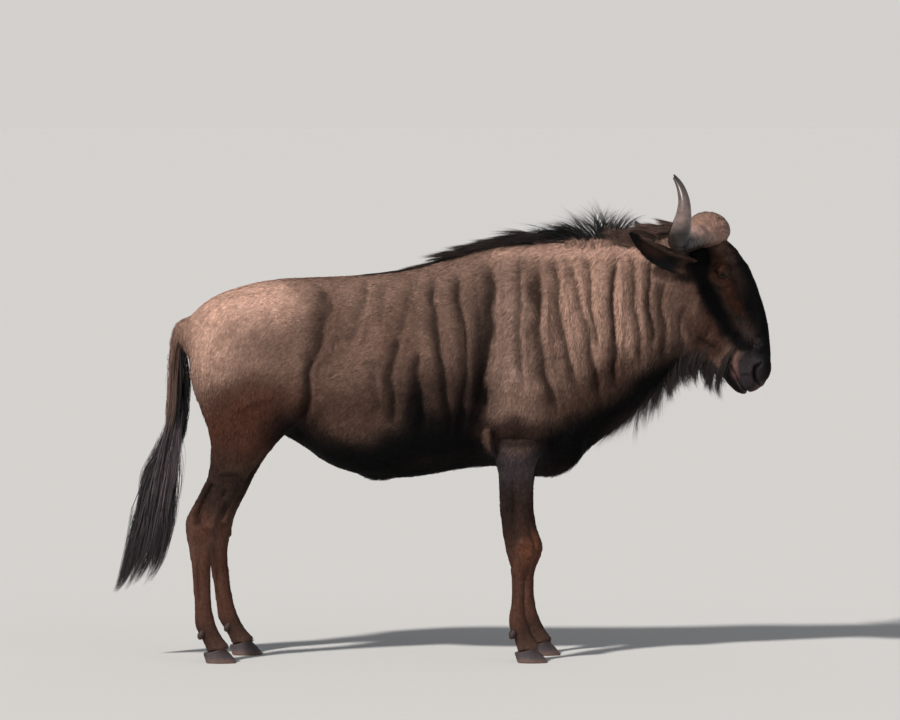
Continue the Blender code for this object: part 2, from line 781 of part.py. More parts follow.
def mouth_cutter(tree):
    """A groove from one corner of the mouth round the lips to the other."""
    line = []
    front = Vector((MOUTH_FRONT[0], 0, MOUTH_FRONT[1]))
    corner = Vector((MOUTH_CORNER[0], 0, MOUTH_CORNER[1]))
    inner = corner.lerp(front, MOUTH_DEPTH)
    for index in range(MOUTH_STEPS + 1):
        sweep = math.pi * (index / MOUTH_STEPS - 0.5) * MOUTH_ROUND
        direction = (front - corner) * math.cos(sweep)
        direction.y = MOUTH_REACH * math.sin(sweep)
        hit = tree.ray_cast(inner, direction.normalized())[0]
        line.append(hit)
    radii = [MOUTH_RADIUS] * len(line)
    radii[0] = MOUTH_RADIUS * 0.5
    radii[-1] = MOUTH_RADIUS * 0.5
    return arc_tube("Mouth line", line, radii)


def make_horn(side, sign):
    """One horn with its half of the boss, turned a little so that the near tip lies back."""
    horn = swept(f"horn_{side}", HORN, HORN_SIDES, HORN_STEPS, sign)
    half_space(horn, Vector((0, sign * HORN_PARTING / 2, 0)), Vector((0, -sign, 0)))
    pivot = Matrix.Translation(HORN_PIVOT)
    horn.data.transform(pivot @ Matrix.Rotation(math.radians(HORN_TURN), 4, "Z") @ pivot.inverted())
    return horn


def make_ear(side, sign):
    """A long cupped ear, its hollow facing out and down."""
    root = Vector((EAR_ROOT[0], sign * EAR_ROOT[1], EAR_ROOT[2]))
    place = EAR_TIPS[side]
    tip = Vector((place[0], sign * place[1], place[2]))
    axis = (tip - root).normalized()
    out = Vector((EAR_FACING[0], sign * EAR_FACING[1], EAR_FACING[2]))
    out = (out - axis * out.dot(axis)).normalized()
    across = axis.cross(out)
    points = []
    for ring in range(EAR_RINGS):
        part = ring / (EAR_RINGS - 1)
        width = EAR_HALF_WIDTH * (0.45 + 0.57 * math.sin(math.pi * part ** 0.85))
        width *= math.sqrt(max(1 - part ** 4, 0.012))
        depth = EAR_DEPTH * (1 - part) ** 0.6
        middle = root.lerp(tip, part) - axis * EAR_SUNK * (1 - part)
        back = []
        front = []
        thickness = EAR_THICKNESS * (1 - 0.55 * part)
        for step in range(EAR_ACROSS):
            place = -1 + 2 * step / (EAR_ACROSS - 1)
            bend = 1 - place ** 2
            edge = 0.45 + 0.55 * bend
            base = middle + across * (width * place) - out * (depth * bend)
            back.append(base - out * (thickness * edge / 2))
            front.append(base + out * (thickness * edge / 2))
        points.extend(back + front[::-1])
    return mesh_object(f"ear_{side}", points, tube_faces(EAR_RINGS, 2 * EAR_ACROSS))


def make_claw(name, centre_x, centre_y, inward):
    """One half of a cloven hoof, from its sole to the coronet."""
    points = []
    for level in HOOF_LEVELS:
        shrink = 1 - (1 - CORONET_SHRINK) * level
        for side in range(HOOF_SIDES):
            turn = 2 * math.pi * side / HOOF_SIDES
            ahead = math.cos(turn)
            aside = math.sin(turn)
            taper = 1 - HOOF_TOE_TAPER * max(ahead, 0.0) ** 2
            x = HOOF_LENGTH / 2 * ahead * shrink
            lean = HOOF_TOE_LEAN if ahead > 0 else HOOF_HEEL_LEAN
            x -= (lean * abs(ahead) + HOOF_BACKSET) * level
            share = HOOF_INNER_SHARE if aside > 0 else 1 - HOOF_INNER_SHARE
            y = HOOF_WIDTH * share * shrink * taper * math.copysign(abs(aside) ** HOOF_ROUNDING, aside)
            top = HOOF_HEIGHT + HOOF_SLOPE * x - GAP
            offset = HOOF_CLEFT / 2 + HOOF_WIDTH * HOOF_INNER_SHARE
            points.append((centre_x + x, centre_y - inward * (offset - y), max(0.0, top * level)))
    return mesh_object(name, points, tube_faces(3, HOOF_SIDES))


def part_leg(body, side, outline, floor, inner_y, names, cuts):
    """Take one leg out of the body and part it. Returns the pieces from the top down."""
    sign = 1 if side == "left" else -1
    leg = copy_of(body, f"{names[0]}_{side}")
    lowered = [(x, z - GAP) for x, z in outline]
    base = [(floor[1], BELOW_FLOOR), (floor[0], BELOW_FLOOR)]
    room = prism("Leg room", lowered + base, sign * (inner_y + GAP), sign * LEG_OUTER_Y)
    boolean(leg, [room], "INTERSECT")
    room = prism("Leg room", list(outline) + base, sign * inner_y, sign * LEG_OUTER_Y)
    boolean(body, [room], "DIFFERENCE")
    pieces = [leg]
    for name, (point, normal) in zip(names[1:], cuts):
        pieces.append(plane_cut(pieces[-1], (point, (-normal[0], -normal[1])), f"{name}_{side}"))
    return pieces


def shifted(place, step, step_top):
    """A cut's place, moved with a leg that stands ahead."""
    (x, z), normal = place
    return ((x + step * max(0.0, 1 - z / step_top), z), normal)


def make_foot(kind, side, foot, centre_x, centre_y):
    """Trim a foot to its coronet, add the dewclaws, and set two claws under it."""
    sign = 1 if side == "left" else -1
    point = Vector((centre_x, 0, HOOF_HEIGHT))
    normal = Vector((HOOF_SLOPE, 0, -1)).normalized()
    half_space(foot, point, normal)
    dewclaws = []
    for aside in (-1, 1):
        centre = (centre_x - DEWCLAW_BACK, centre_y + aside * DEWCLAW_ASIDE, DEWCLAW_HEIGHT)
        dewclaws.append(ellipsoid("Dewclaw", centre, DEWCLAW_RADII, DEWCLAW_TURN, 6, 5))
    boolean(foot, dewclaws, "UNION")
    claws = []
    for label, inward in (("inner", sign), ("outer", -sign)):
        claws.append(make_claw(f"hoof_{kind}_{side}_{label}", centre_x, centre_y, inward))
    return claws


def lock(spine, width_way, width):
    """A flat lock of hair with a low ridge, that tapers to a point along its spine."""
    points = []
    last = len(spine) - 1
    for index in range(last):
        part = index / last
        direction = (spine[index + 1] - spine[max(index - 1, 0)]).normalized()
        across = (width_way - direction * width_way.dot(direction)).normalized()
        over = direction.cross(across)
        half = width * 0.5 * (1 - part ** LOCK_TAPER) * (1 - LOCK_WAIST + 2 * LOCK_WAIST * part)
        wide = across * half
        deep = over * (half * LOCK_FLATNESS)
        points.extend((spine[index] + wide - deep, spine[index] + deep * 2, spine[index] - wide - deep))
    points.append(spine[-1])
    faces = tube_faces(last, 3, closed_ends=False)
    tip = len(points) - 1
    faces.append((0, 1, 2))
    faces.extend((tip - 3 + side, tip - 3 + (side + 1) % 3, tip) for side in range(3))
    return mesh_object("Lock", points, faces)


def bed_locks(beds, tree):
    """The locks of some beds, rooted in the surface that the tree holds."""
    draw = random.Random(LOCK_SEED)
    locks = []
    for bed in beds:
        start = Vector((bed.start[0], 0, bed.start[1]))
        end = Vector((bed.end[0], 0, bed.end[1]))
        way = (end - start).normalized()
        out = Vector((-way.z, 0, way.x))
        for index in range(bed.count):
            part = (index + draw.uniform(0.2, 0.8)) / bed.count
            side = -1 if index % 2 else 1
            aside = side * bed.spread * draw.uniform(0.15, 1.0)
            place = start.lerp(end, part) + Vector((0, aside, 0))
            point = tree.ray_cast(place + out * ROOT_SEARCH, -out)[0] - out * bed.sunk
            angle = bed.angle_start + (bed.angle_end - bed.angle_start) * part
            angle += draw.uniform(-bed.stray, bed.stray)
            curl = bed.curl * draw.uniform(*CURL_VARIES)
            stride = bed.length * draw.uniform(*LENGTH_VARIES) / LOCK_STEPS
            sideways = side * bed.splay * draw.uniform(*SPLAY_VARIES)
            spine = [point]
            for step in range(LOCK_STEPS):
                part = (step + 0.5) / LOCK_STEPS
                heading = math.radians(angle + curl * part)
                move = Vector((math.cos(heading), sideways * 2 * part, math.sin(heading)))
                point = point + move.normalized() * stride
                spine.append(point)
            across = Vector((-math.sin(heading), side * 0.25, math.cos(heading)))
            locks.append(lock(spine, across, bed.width * draw.uniform(*WIDTH_VARIES)))
    return locks


def tail_locks():
    """The long locks of the tail, laid along its middle line and spreading from it."""
    draw = random.Random(TAIL_SEED)
    columns = list(zip(*TAIL_LINE))
    last = len(TAIL_LINE) - 1
    locks = []
    for bed in TAIL_BEDS:
        for index in range(bed.count):
            part = (index + draw.uniform(0.2, 0.8)) / bed.count
            begin = bed.start_from + (bed.start_to - bed.start_from) * part
            stop = draw.uniform(bed.end_from, bed.end_to)
            turn = bed.turn_from + (bed.turn_to - bed.turn_from) * ((index * TAIL_SPACING) % 1.0)
            turn = math.radians(turn)
            aside = Vector((math.cos(turn), TAIL_NARROWING * math.sin(turn), 0))
            spine = []
            for step in range(TAIL_STEPS + 1):
                along = step / TAIL_STEPS
                place = begin + (stop - begin) * along
                middle = Vector([through(column, place * last) for column in columns])
                radius = bed.root_radius + (bed.far_radius - bed.root_radius) * math.sin(along * math.pi / 2)
                spine.append(middle + aside * radius)
            width_way = Vector((-math.sin(turn), math.cos(turn), 0))
            locks.append(lock(spine, width_way, bed.width * draw.uniform(*WIDTH_VARIES)))
    return locks


def dress(items, material):
    """Give objects one finish and smooth shading with creases kept."""
    for item in items:
        item.data.materials.clear()
        item.data.materials.append(material)
        item.data.shade_smooth()
        item.data.set_sharp_from_angle(angle=math.radians(40))


def main():
    """Model the animal and part it."""
    for item in list(bpy.data.objects):
        bpy.data.objects.remove(item, do_unlink=True)

    hide = finish("Hide", (0.33, 0.27, 0.22), 0.75)
    hair = finish("Hair", (0.03, 0.028, 0.03), 0.55)
    horn = finish("Horn", (0.10, 0.09, 0.085), 0.45)
    hoof = finish("Hoof", (0.05, 0.045, 0.04), 0.5)
    wet = finish("Eye", (0.02, 0.012, 0.008), 0.1)

    body = body_core()
    head = head_core()
    head_normal = Vector((HEAD_CUT[1][0], 0, HEAD_CUT[1][1])).normalized()

    eyes = []
    horns = []
    ears = []
    for side, sign in (("right", -1), ("left", 1)):
        eyes.append(ellipsoid(f"eye_{side}", eye_centre(sign), (EYE_RADIUS,) * 3, 0.0, 12, 7))
        horns.append(make_horn(side, sign))
        ears.append(make_ear(side, sign))
    for item in horns + ears:
        clear_of(item, [head, body])
    for ear, horn_piece in zip(ears, horns):
        clear_of(ear, [horn_piece])
    tail = swept("tail_dock", DOCK, 10, 2)
    boolean(tail, tail_locks(), "UNION")
    clear_of(tail, [body])

    tree = surface_tree(head)
    boolean(head, bed_locks(JAW_BEDS, tree), "UNION")
    boolean(head, [lid_shell(sign) for sign in (-1, 1)], "UNION")
    cutters = [lid_opening(sign) for sign in (-1, 1)]
    cutters += [nostril_cutter(tree, -1), nostril_cutter(tree, 1), mouth_cutter(tree)]
    for cutter in cutters:
        boolean(head, [cutter], "DIFFERENCE")
    clear_of(head, eyes)
    half_space(head, at_plane(HEAD_CUT) + head_normal * GAP, -head_normal)

    tree = surface_tree(body)
    boolean(body, bed_locks(MANE_BEDS + BEARD_BEDS, tree), "UNION")
    clear_of(body, ears + horns)
    legs = []
    claws = []
    for side, sign in (("right", -1), ("left", 1)):
        hind_step = HIND_STEP if side == "left" else 0.0
        fore_step = FORE_STEP if side == "left" else 0.0
        hind_cuts = [shifted(cut, hind_step, HIND_STEP_TOP) for cut in HIND_CUTS]
        fore_cuts = [shifted(cut, fore_step, FORE_STEP_TOP) for cut in FORE_CUTS]
        hind = part_leg(body, side, THIGH_TOP, THIGH_FLOOR, HIND_INNER_Y, HIND_NAMES, hind_cuts)
        fore = part_leg(body, side, ARM_TOP, ARM_FLOOR, FORE_INNER_Y, FORE_NAMES, fore_cuts)
        hind_y = sign * HIND_LEG[-1].centre_y
        fore_y = sign * FORE_LEG[-1].centre_y
        claws += make_foot("hind", side, hind[-1], HIND_HOOF_X + hind_step, hind_y)
        claws += make_foot("fore", side, fore[-1], FORE_HOOF_X + fore_step, fore_y)
        legs += hind + fore
    neck = plane_cut(body, NECK_CUT, "neck")
    half_space(neck, at_plane(HEAD_CUT), head_normal)
    tail_tuft = plane_cut(tail, (TAIL_CUT[0], (0.0, -1.0)), "tail_tuft")

    dress([body, neck, head, tail] + legs + ears, hide)
    dress([tail_tuft], hair)
    dress(horns, horn)
    dress(claws, hoof)
    dress(eyes, wet)


main()
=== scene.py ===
"""A blue wildebeest bull, life size, standing in profile: one skin under a coat of tufts and long hair.

The animal faces +X and stands at Z = 0. Its right side, the one seen, is -Y. Lengths are in metres.
"""

import logging
import math
from collections.abc import Callable
from dataclasses import dataclass, field
from enum import Enum

import bmesh
import bpy
import numpy as np
from mathutils import Matrix, Vector
from mathutils.bvhtree import BVHTree


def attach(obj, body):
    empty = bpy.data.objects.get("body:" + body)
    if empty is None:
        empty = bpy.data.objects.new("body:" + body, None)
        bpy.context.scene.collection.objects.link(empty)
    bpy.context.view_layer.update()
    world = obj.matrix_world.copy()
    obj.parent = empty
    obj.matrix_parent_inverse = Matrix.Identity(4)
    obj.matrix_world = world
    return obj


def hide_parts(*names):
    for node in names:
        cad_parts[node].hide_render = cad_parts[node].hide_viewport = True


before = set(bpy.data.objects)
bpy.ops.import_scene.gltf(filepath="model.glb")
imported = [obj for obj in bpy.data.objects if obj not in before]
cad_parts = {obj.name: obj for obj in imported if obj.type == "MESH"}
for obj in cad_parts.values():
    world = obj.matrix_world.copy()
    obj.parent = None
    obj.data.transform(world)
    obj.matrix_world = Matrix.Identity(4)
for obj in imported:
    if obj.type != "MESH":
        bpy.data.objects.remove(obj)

log = logging.getLogger("wildebeest")

BODY = "root"
COAT_COLOUR = "coat"
BARE_SKIN = "bare"
BAKE_MAP = "OFBake"

Array = np.ndarray
Path = tuple[tuple[float, float], ...]
Triple = tuple[float, float, float]


class Side(Enum):
    """The two sides of the animal, by the sign of Y."""

    RIGHT = -1
    LEFT = 1

    @property
    def label(self) -> str:
        """The side's name in a node's name."""
        return self.name.lower()


class Slot(Enum):
    """The material slots that the record names."""

    HIDE = "hide"
    HAIR = "hair"
    HORN = "horn"
    HOOF = "hoof"
    EYE = "eye"


class Pigment(Enum):
    """The colours of hair and skin, as seen on the animal in daylight, 0 to 255."""

    BUFF = (196, 158, 140)
    SAND = (164, 134, 122)
    TAUPE = (126, 100, 88)
    GREY_BROWN = (104, 80, 70)
    UMBER = (72, 50, 41)
    RUSSET = (76, 46, 35)
    DARK_BROWN = (46, 32, 27)
    BLACK = (9, 8, 9)
    SLATE = (62, 54, 57)
    MUZZLE = (44, 38, 41)
    LIP_PINK = (116, 84, 78)
    REDDISH = (100, 60, 42)
    BOSS = (150, 114, 98)
    HORN = (130, 111, 106)

    @property
    def linear(self) -> Array:
        """The colour in linear light, as Blender's sockets and attributes take it."""
        share = np.array(self.value) / 255.0
        return np.where(share <= 0.04045, share / 12.92, ((share + 0.055) / 1.055) ** 2.4)


def smooth_step(low: float, high: float, value: Array) -> Array:
    """A smooth rise from 0 at low to 1 at high.

    Args:
        low: where the rise starts.
        high: where it ends, which may be the smaller of the two.
        value: the numbers to place on it.

    Returns:
        The height of the rise at each value.
    """
    share = np.clip((value - low) / (high - low), 0.0, 1.0)
    return share * share * (3.0 - 2.0 * share)


def lattice_noise(points: Array, size: float, seed: int) -> Array:
    """Smooth random waves through space.

    Args:
        points: places, one row each.
        size: the width of a wave in metres.
        seed: which field of waves.

    Returns:
        A number from -1 to 1 for each place.
    """
    place = points / size + 1000.0
    base = np.floor(place).astype(np.int64)
    part = place - base
    part = part * part * (3.0 - 2.0 * part)
    total = np.zeros(len(points))
    for corner in range(8):
        step = np.array([(corner >> axis) & 1 for axis in range(3)])
        cell = base + step
        key = cell[:, 0] * 73856093 ^ cell[:, 1] * 19349663 ^ cell[:, 2] * 83492791 ^ seed * 2654435761
        key = (key ^ (key >> 13)) * 1274126177 & 0x7FFFFFFF
        value = ((key ^ (key >> 16)) & 0xFFFF) / 32767.5 - 1.0
        weight = np.prod(np.where(step, part, 1.0 - part), axis=1)
        total += value * weight
    return total


def unit(vectors: Array) -> Array:
    """The same directions with length one."""
    return vectors / np.maximum(np.linalg.norm(vectors, axis=-1, keepdims=True), 1e-9)


def path_distance(x: Array, z: Array, path: Path) -> tuple[Array, Array]:
    """How far points lie from a line drawn on the side of the body.

    Args:
        x: the points' places along the body.
        z: their heights.
        path: the line's corners in the XZ plane.

    Returns:
        The distance to the line, and how far along it the nearest place is, from 0 to 1.
    """
    corners = np.array(path)
    lengths = np.linalg.norm(np.diff(corners, axis=0), axis=1)
    whole = lengths.sum()
    best = np.full(len(x), 1e9)
    along = np.zeros(len(x))
    run = 0.0
    for start, stop, length in zip(corners[:-1], corners[1:], lengths):
        way = (stop - start) / length
        step = np.clip((x - start[0]) * way[0] + (z - start[1]) * way[1], 0.0, length)
        gap = np.hypot(x - start[0] - way[0] * step, z - start[1] - way[1] * step)
        nearer = gap < best
        best = np.where(nearer, gap, best)
        along = np.where(nearer, (run + step) / whole, along)
        run += length
    return best, along


@dataclass(frozen=True)
class Station:
    """One cross-section: two outline points in the XZ plane, and how the section fills the width."""

    first: tuple[float, float]
    last: tuple[float, float]
    half_width: float
    centre_y: float = 0.0
    widest: float = 0.5
    fullness: float = 1.0


@dataclass(frozen=True)
class Swelling:
    """A muscle or bone that lifts the surface: an ellipsoid, turned about Y, on each side."""

    centre: Triple
    radii: Triple
    turn: float = 0.0


@dataclass(frozen=True)
class Bend:
    """One point on a curved form's middle line, with the half sizes of its section there."""

    point: Triple
    across: float
    along: float


TRUNK = (
    Station((-0.878, 1.120), (-0.868, 1.040), 0.040),
    Station((-0.835, 1.180), (-0.838, 0.960), 0.112, widest=0.50),
    Station((-0.760, 1.234), (-0.765, 0.880), 0.158, widest=0.50, fullness=0.85),
    Station((-0.633, 1.274), (-0.633, 0.800), 0.176, widest=0.46, fullness=0.80),
    Station((-0.500, 1.289), (-0.500, 0.735), 0.182, widest=0.48, fullness=0.82),
    Station((-0.380, 1.296), (-0.380, 0.655), 0.195, widest=0.53, fullness=0.86),
    Station((-0.240, 1.306), (-0.235, 0.616), 0.207, widest=0.55, fullness=0.86),
    Station((-0.090, 1.328), (-0.090, 0.616), 0.208, widest=0.57, fullness=0.90),
    Station((0.060, 1.375), (0.055, 0.640), 0.196, widest=0.58, fullness=1.00),
    Station((0.190, 1.418), (0.180, 0.648), 0.184, widest=0.57, fullness=1.10),
    Station((0.310, 1.432), (0.305, 0.615), 0.176, widest=0.57, fullness=1.12),
    Station((0.420, 1.430), (0.415, 0.630), 0.162, widest=0.55, fullness=1.05),
    Station((0.510, 1.424), (0.500, 0.716), 0.138, widest=0.52, fullness=1.00),
    Station((0.600, 1.426), (0.600, 0.790), 0.117, widest=0.48, fullness=0.95),
    Station((0.690, 1.440), (0.700, 0.890), 0.106, widest=0.49, fullness=0.95),
    Station((0.770, 1.458), (0.790, 0.985), 0.096, widest=0.48, fullness=0.92),
    Station((0.840, 1.440), (0.850, 1.060), 0.084, widest=0.46, fullness=0.90),
    Station((0.900, 1.400), (0.900, 1.150), 0.050, widest=0.45, fullness=0.95),
)

HEAD = (
    Station((0.740, 1.430), (0.700, 1.260), 0.060),
    Station((0.810, 1.466), (0.738, 1.190), 0.084, widest=0.40, fullness=0.85),
    Station((0.872, 1.462), (0.760, 1.128), 0.086, widest=0.36, fullness=0.85),
    Station((0.934, 1.430), (0.782, 1.078), 0.084, widest=0.34, fullness=0.85),
    Station((0.984, 1.386), (0.810, 1.048), 0.080, widest=0.36, fullness=0.85),
    Station((1.024, 1.330), (0.842, 1.030), 0.073, widest=0.40, fullness=0.85),
    Station((1.051, 1.268), (0.872, 1.013), 0.069, widest=0.42, fullness=0.84),
    Station((1.074, 1.202), (0.899, 0.997), 0.062, widest=0.42, fullness=0.82),
    Station((1.093, 1.130), (0.923, 0.977), 0.060, widest=0.42, fullness=0.80),
    Station((1.103, 1.063), (0.941, 0.954), 0.066, widest=0.42, fullness=0.76),
    Station((1.105, 1.012), (0.962, 0.926), 0.073, widest=0.42, fullness=0.74),
    Station((1.099, 0.962), (0.992, 0.903), 0.070, widest=0.44, fullness=0.74),
    Station((1.082, 0.925), (1.028, 0.900), 0.050, widest=0.50, fullness=0.80),
)

HIND_LEG = (
    Station((-0.490, 1.200), (-0.790, 1.180), 0.050, 0.095),
    Station((-0.480, 1.090), (-0.840, 1.090), 0.078, 0.108),
    Station((-0.458, 0.990), (-0.854, 0.995), 0.084, 0.116),
    Station((-0.452, 0.905), (-0.846, 0.925), 0.078, 0.122, widest=0.45),
    Station((-0.478, 0.822), (-0.818, 0.850), 0.066, 0.128, widest=0.42),
    Station((-0.545, 0.742), (-0.790, 0.770), 0.056, 0.130, widest=0.45),
    Station((-0.605, 0.680), (-0.785, 0.694), 0.048, 0.130),
    Station((-0.655, 0.612), (-0.796, 0.620), 0.040, 0.128),
    Station((-0.697, 0.545), (-0.834, 0.540), 0.034, 0.126, widest=0.35),
    Station((-0.730, 0.492), (-0.868, 0.482), 0.036, 0.126, widest=0.40),
    Station((-0.750, 0.438), (-0.867, 0.436), 0.036, 0.128),
    Station((-0.768, 0.377), (-0.856, 0.377), 0.030, 0.131),
    Station((-0.775, 0.310), (-0.847, 0.310), 0.025, 0.134),
    Station((-0.773, 0.220), (-0.840, 0.220), 0.024, 0.137),
    Station((-0.766, 0.160), (-0.838, 0.160), 0.028, 0.139),
    Station((-0.754, 0.120), (-0.836, 0.122), 0.033, 0.140),
    Station((-0.736, 0.085), (-0.814, 0.082), 0.033, 0.140),
    Station((-0.706, 0.050), (-0.796, 0.040), 0.038, 0.141),
    Station((-0.692, 0.022), (-0.788, 0.012), 0.041, 0.141),
)

FORE_LEG = (
    Station((0.360, 1.260), (0.170, 1.280), 0.040, 0.096),
    Station((0.400, 1.150), (0.110, 1.170), 0.066, 0.112),
    Station((0.412, 1.030), (0.092, 1.050), 0.074, 0.120),
    Station((0.400, 0.920), (0.096, 0.930), 0.072, 0.126),
    Station((0.372, 0.820), (0.118, 0.830), 0.064, 0.130),
    Station((0.336, 0.720), (0.160, 0.725), 0.052, 0.132),
    Station((0.312, 0.640), (0.178, 0.640), 0.043, 0.131),
    Station((0.298, 0.556), (0.184, 0.556), 0.036, 0.129),
    Station((0.296, 0.475), (0.190, 0.475), 0.034, 0.127),
    Station((0.304, 0.420), (0.198, 0.420), 0.038, 0.127),
    Station((0.317, 0.376), (0.208, 0.370), 0.041, 0.127),
    Station((0.308, 0.332), (0.219, 0.328), 0.036, 0.127),
    Station((0.286, 0.290), (0.224, 0.290), 0.028, 0.128),
    Station((0.279, 0.220), (0.226, 0.220), 0.025, 0.129),
    Station((0.281, 0.165), (0.219, 0.165), 0.028, 0.130),
    Station((0.292, 0.125), (0.217, 0.125), 0.033, 0.130),
    Station((0.308, 0.088), (0.234, 0.080), 0.033, 0.130),
    Station((0.334, 0.050), (0.246, 0.040), 0.038, 0.131),
    Station((0.346, 0.022), (0.252, 0.012), 0.041, 0.131),
)

BODY_SWELLINGS = (
    Swelling((0.262, 0.078, 1.050), (0.130, 0.088, 0.240), 0.16),
    Swelling((0.175, 0.125, 0.820), (0.080, 0.045, 0.100), 0.0),
    Swelling((0.385, 0.060, 0.870), (0.100, 0.082, 0.220), -0.20),
    Swelling((-0.620, 0.110, 1.080), (0.210, 0.082, 0.170), 0.0),
    Swelling((-0.500, 0.150, 0.880), (0.050, 0.040, 0.110), 0.25),
    Swelling((-0.225, 0.0, 0.640), (0.075, 0.035, 0.040), 0.15),
    Swelling((0.600, 0.046, 1.120), (0.105, 0.064, 0.270), 0.50),
)

HEAD_SWELLINGS = (
    Swelling((0.925, 0.064, 1.332), (0.046, 0.030, 0.044), 0.0),
    Swelling((0.850, 0.052, 1.165), (0.066, 0.032, 0.108), 0.55),
    Swelling((1.072, 0.050, 0.985), (0.034, 0.030, 0.052), 0.10),
    Swelling((1.010, 0.030, 0.925), (0.034, 0.042, 0.026), 0.50),
    Swelling((0.826, 0.070, 1.330), (0.040, 0.034, 0.044), 0.0),
    Swelling((0.808, 0.0, 1.080), (0.060, 0.058, 0.066), 0.30),
)

DOCK = (
    Bend((-0.840, 0.0, 1.140), 0.024, 0.026),
    Bend((-0.885, 0.0, 1.120), 0.024, 0.027),
    Bend((-0.907, 0.0, 1.050), 0.019, 0.022),
    Bend((-0.914, 0.0, 0.950), 0.016, 0.018),
    Bend((-0.924, 0.0, 0.850), 0.014, 0.016),
    Bend((-0.936, 0.0, 0.760), 0.012, 0.013),
    Bend((-0.955, 0.0, 0.640), 0.008, 0.009),
)

HORN = (
    Bend((0.893, -0.020, 1.460), 0.045, 0.064),
    Bend((0.888, 0.045, 1.460), 0.047, 0.062),
    Bend((0.862, 0.110, 1.440), 0.042, 0.052),
    Bend((0.824, 0.175, 1.418), 0.037, 0.043),
    Bend((0.797, 0.240, 1.416), 0.036, 0.038),
    Bend((0.800, 0.292, 1.445), 0.033, 0.034),
    Bend((0.810, 0.316, 1.492), 0.027, 0.027),
    Bend((0.811, 0.318, 1.545), 0.019, 0.019),
    Bend((0.798, 0.304, 1.594), 0.011, 0.011),
    Bend((0.777, 0.286, 1.629), 0.003, 0.003),
)

TAIL_LINE = (
    (-0.885, 0.0, 1.120),
    (-0.904, 0.0, 1.050),
    (-0.912, 0.0, 0.950),
    (-0.923, 0.0, 0.840),
    (-0.940, 0.0, 0.720),
    (-0.962, 0.0, 0.590),
    (-0.988, 0.0, 0.460),
    (-1.022, 0.0, 0.340),
    (-1.068, 0.0, 0.230),
)

HIND_STEP = 0.078
FORE_STEP = 0.048
HIND_STEP_TOP = 0.850
FORE_STEP_TOP = 0.800
EYE_CENTRE = (0.938, 0.080, 1.309)
EYE_RADIUS = 0.0235


def stance(points: Array) -> tuple[Array, Array, Array]:
    """Places on either side, brought to the side of the rear-standing legs, so that one table serves both.

    Args:
        points: places on the body, one row each.

    Returns:
        X without the left legs' step, the distance from the middle plane, and Z.
    """
    x, y, z = points[:, 0], points[:, 1], points[:, 2]
    hind = HIND_STEP * np.clip(1.0 - z / HIND_STEP_TOP, 0.0, 1.0) * (x < -0.2)
    fore = FORE_STEP * np.clip(1.0 - z / FORE_STEP_TOP, 0.0, 1.0) * (x >= -0.2)
    return x - np.where(y > 0.02, hind + fore, 0.0), np.abs(y), z


def through(rows: Array, places: Array) -> Array:
    """Values along a smooth curve through evenly spaced rows of values.

    Args:
        rows: the values to pass through, one row each.
        places: where on the curve, from 0 to the number of rows less one.

    Returns:
        One row of values for each place.
    """
    last = len(rows) - 1
    start = np.minimum(places.astype(int), last - 1)
    part = (places - start)[:, None]
    before = rows[np.maximum(start - 1, 0)]
    here = rows[start]
    there = rows[start + 1]
    after = rows[np.minimum(start + 2, last)]
    return 0.5 * (
        2 * here
        + (there - before) * part
        + (2 * before - 5 * here + 4 * there - after) * part ** 2
        + (3 * here - before - 3 * there + after) * part ** 3
    )


def tube_faces(rings: int, sides: int) -> list[tuple[int, ...]]:
    """The faces that join rings of points one after another, with both ends closed.

    Args:
        rings: how many rings there are.
        sides: how many points each has.

    Returns:
        The faces, as indices of points.
    """
    faces: list[tuple[int, ...]] = []
    for ring in range(rings - 1):
        for side in range(sides):
            near = ring * sides + side
            beside = ring * sides + (side + 1) % sides
            faces.append((near, beside, beside + sides, near + sides))
    faces.append(tuple(range(sides)))
    faces.append(tuple(range((rings - 1) * sides, rings * sides)))
    return faces


def mesh_object(name: str, points: Array, faces: list[tuple[int, ...]]) -> bpy.types.Object:
    """A new object from points and faces, with its faces turned outwards.

    Args:
        name: the object's name.
        points: its points, one row each.
        faces: its faces, as indices of points.

    Returns:
        The object, linked to the scene.
    """
    mesh = bpy.data.meshes.new(name)
    mesh.from_pydata([tuple(point) for point in points], [], faces)
    shape = bmesh.new()
    shape.from_mesh(mesh)
    bmesh.ops.recalc_face_normals(shape, faces=shape.faces)
    shape.to_mesh(mesh)
    shape.free()
    item = bpy.data.objects.new(name, mesh)
    bpy.context.scene.collection.objects.link(item)
    return item


def loft(name: str, stations: tuple[Station, ...], sides: int, shift: float = 0.0, top: float = 1.0,
         sign: float = 1.0, steps: int = 3) -> bpy.types.Object:
    """A closed form through cross-sections.

    Args:
        name: the object's name.
        stations: the sections, one after another.
        sides: how many points go round a section.
        shift: how far the form's foot is moved ahead.
        top: the height at which that move is nothing.
        sign: the side of the body, as the sign of Y.
        steps: how many rings there are between two sections.

    Returns:
        The form.
    """
    rows = np.array([
        (*one.first, *one.last, one.half_width, one.centre_y, one.widest, one.fullness) for one in stations
    ])
    step = shift * np.maximum(0.0, 1.0 - rows[:, 1] / top)
    rows[:, 0] += step
    rows[:, 2] += step
    count = (len(rows) - 1) * steps + 1
    finer = through(rows, np.arange(count) / steps)
    turn = 2 * math.pi * np.arange(sides) / sides
    points = []
    for row in finer:
        along = ((1 - np.cos(turn)) / 2) ** (math.log(row[6]) / math.log(0.5))
        wide = np.sign(np.sin(turn)) * np.abs(np.sin(turn)) ** row[7]
        points.append(np.stack([
            row[0] + (row[2] - row[0]) * along,
            sign * row[5] + row[4] * wide,
            row[1] + (row[3] - row[1]) * along,
        ], axis=1))
    return mesh_object(name, np.concatenate(points), tube_faces(count, sides))


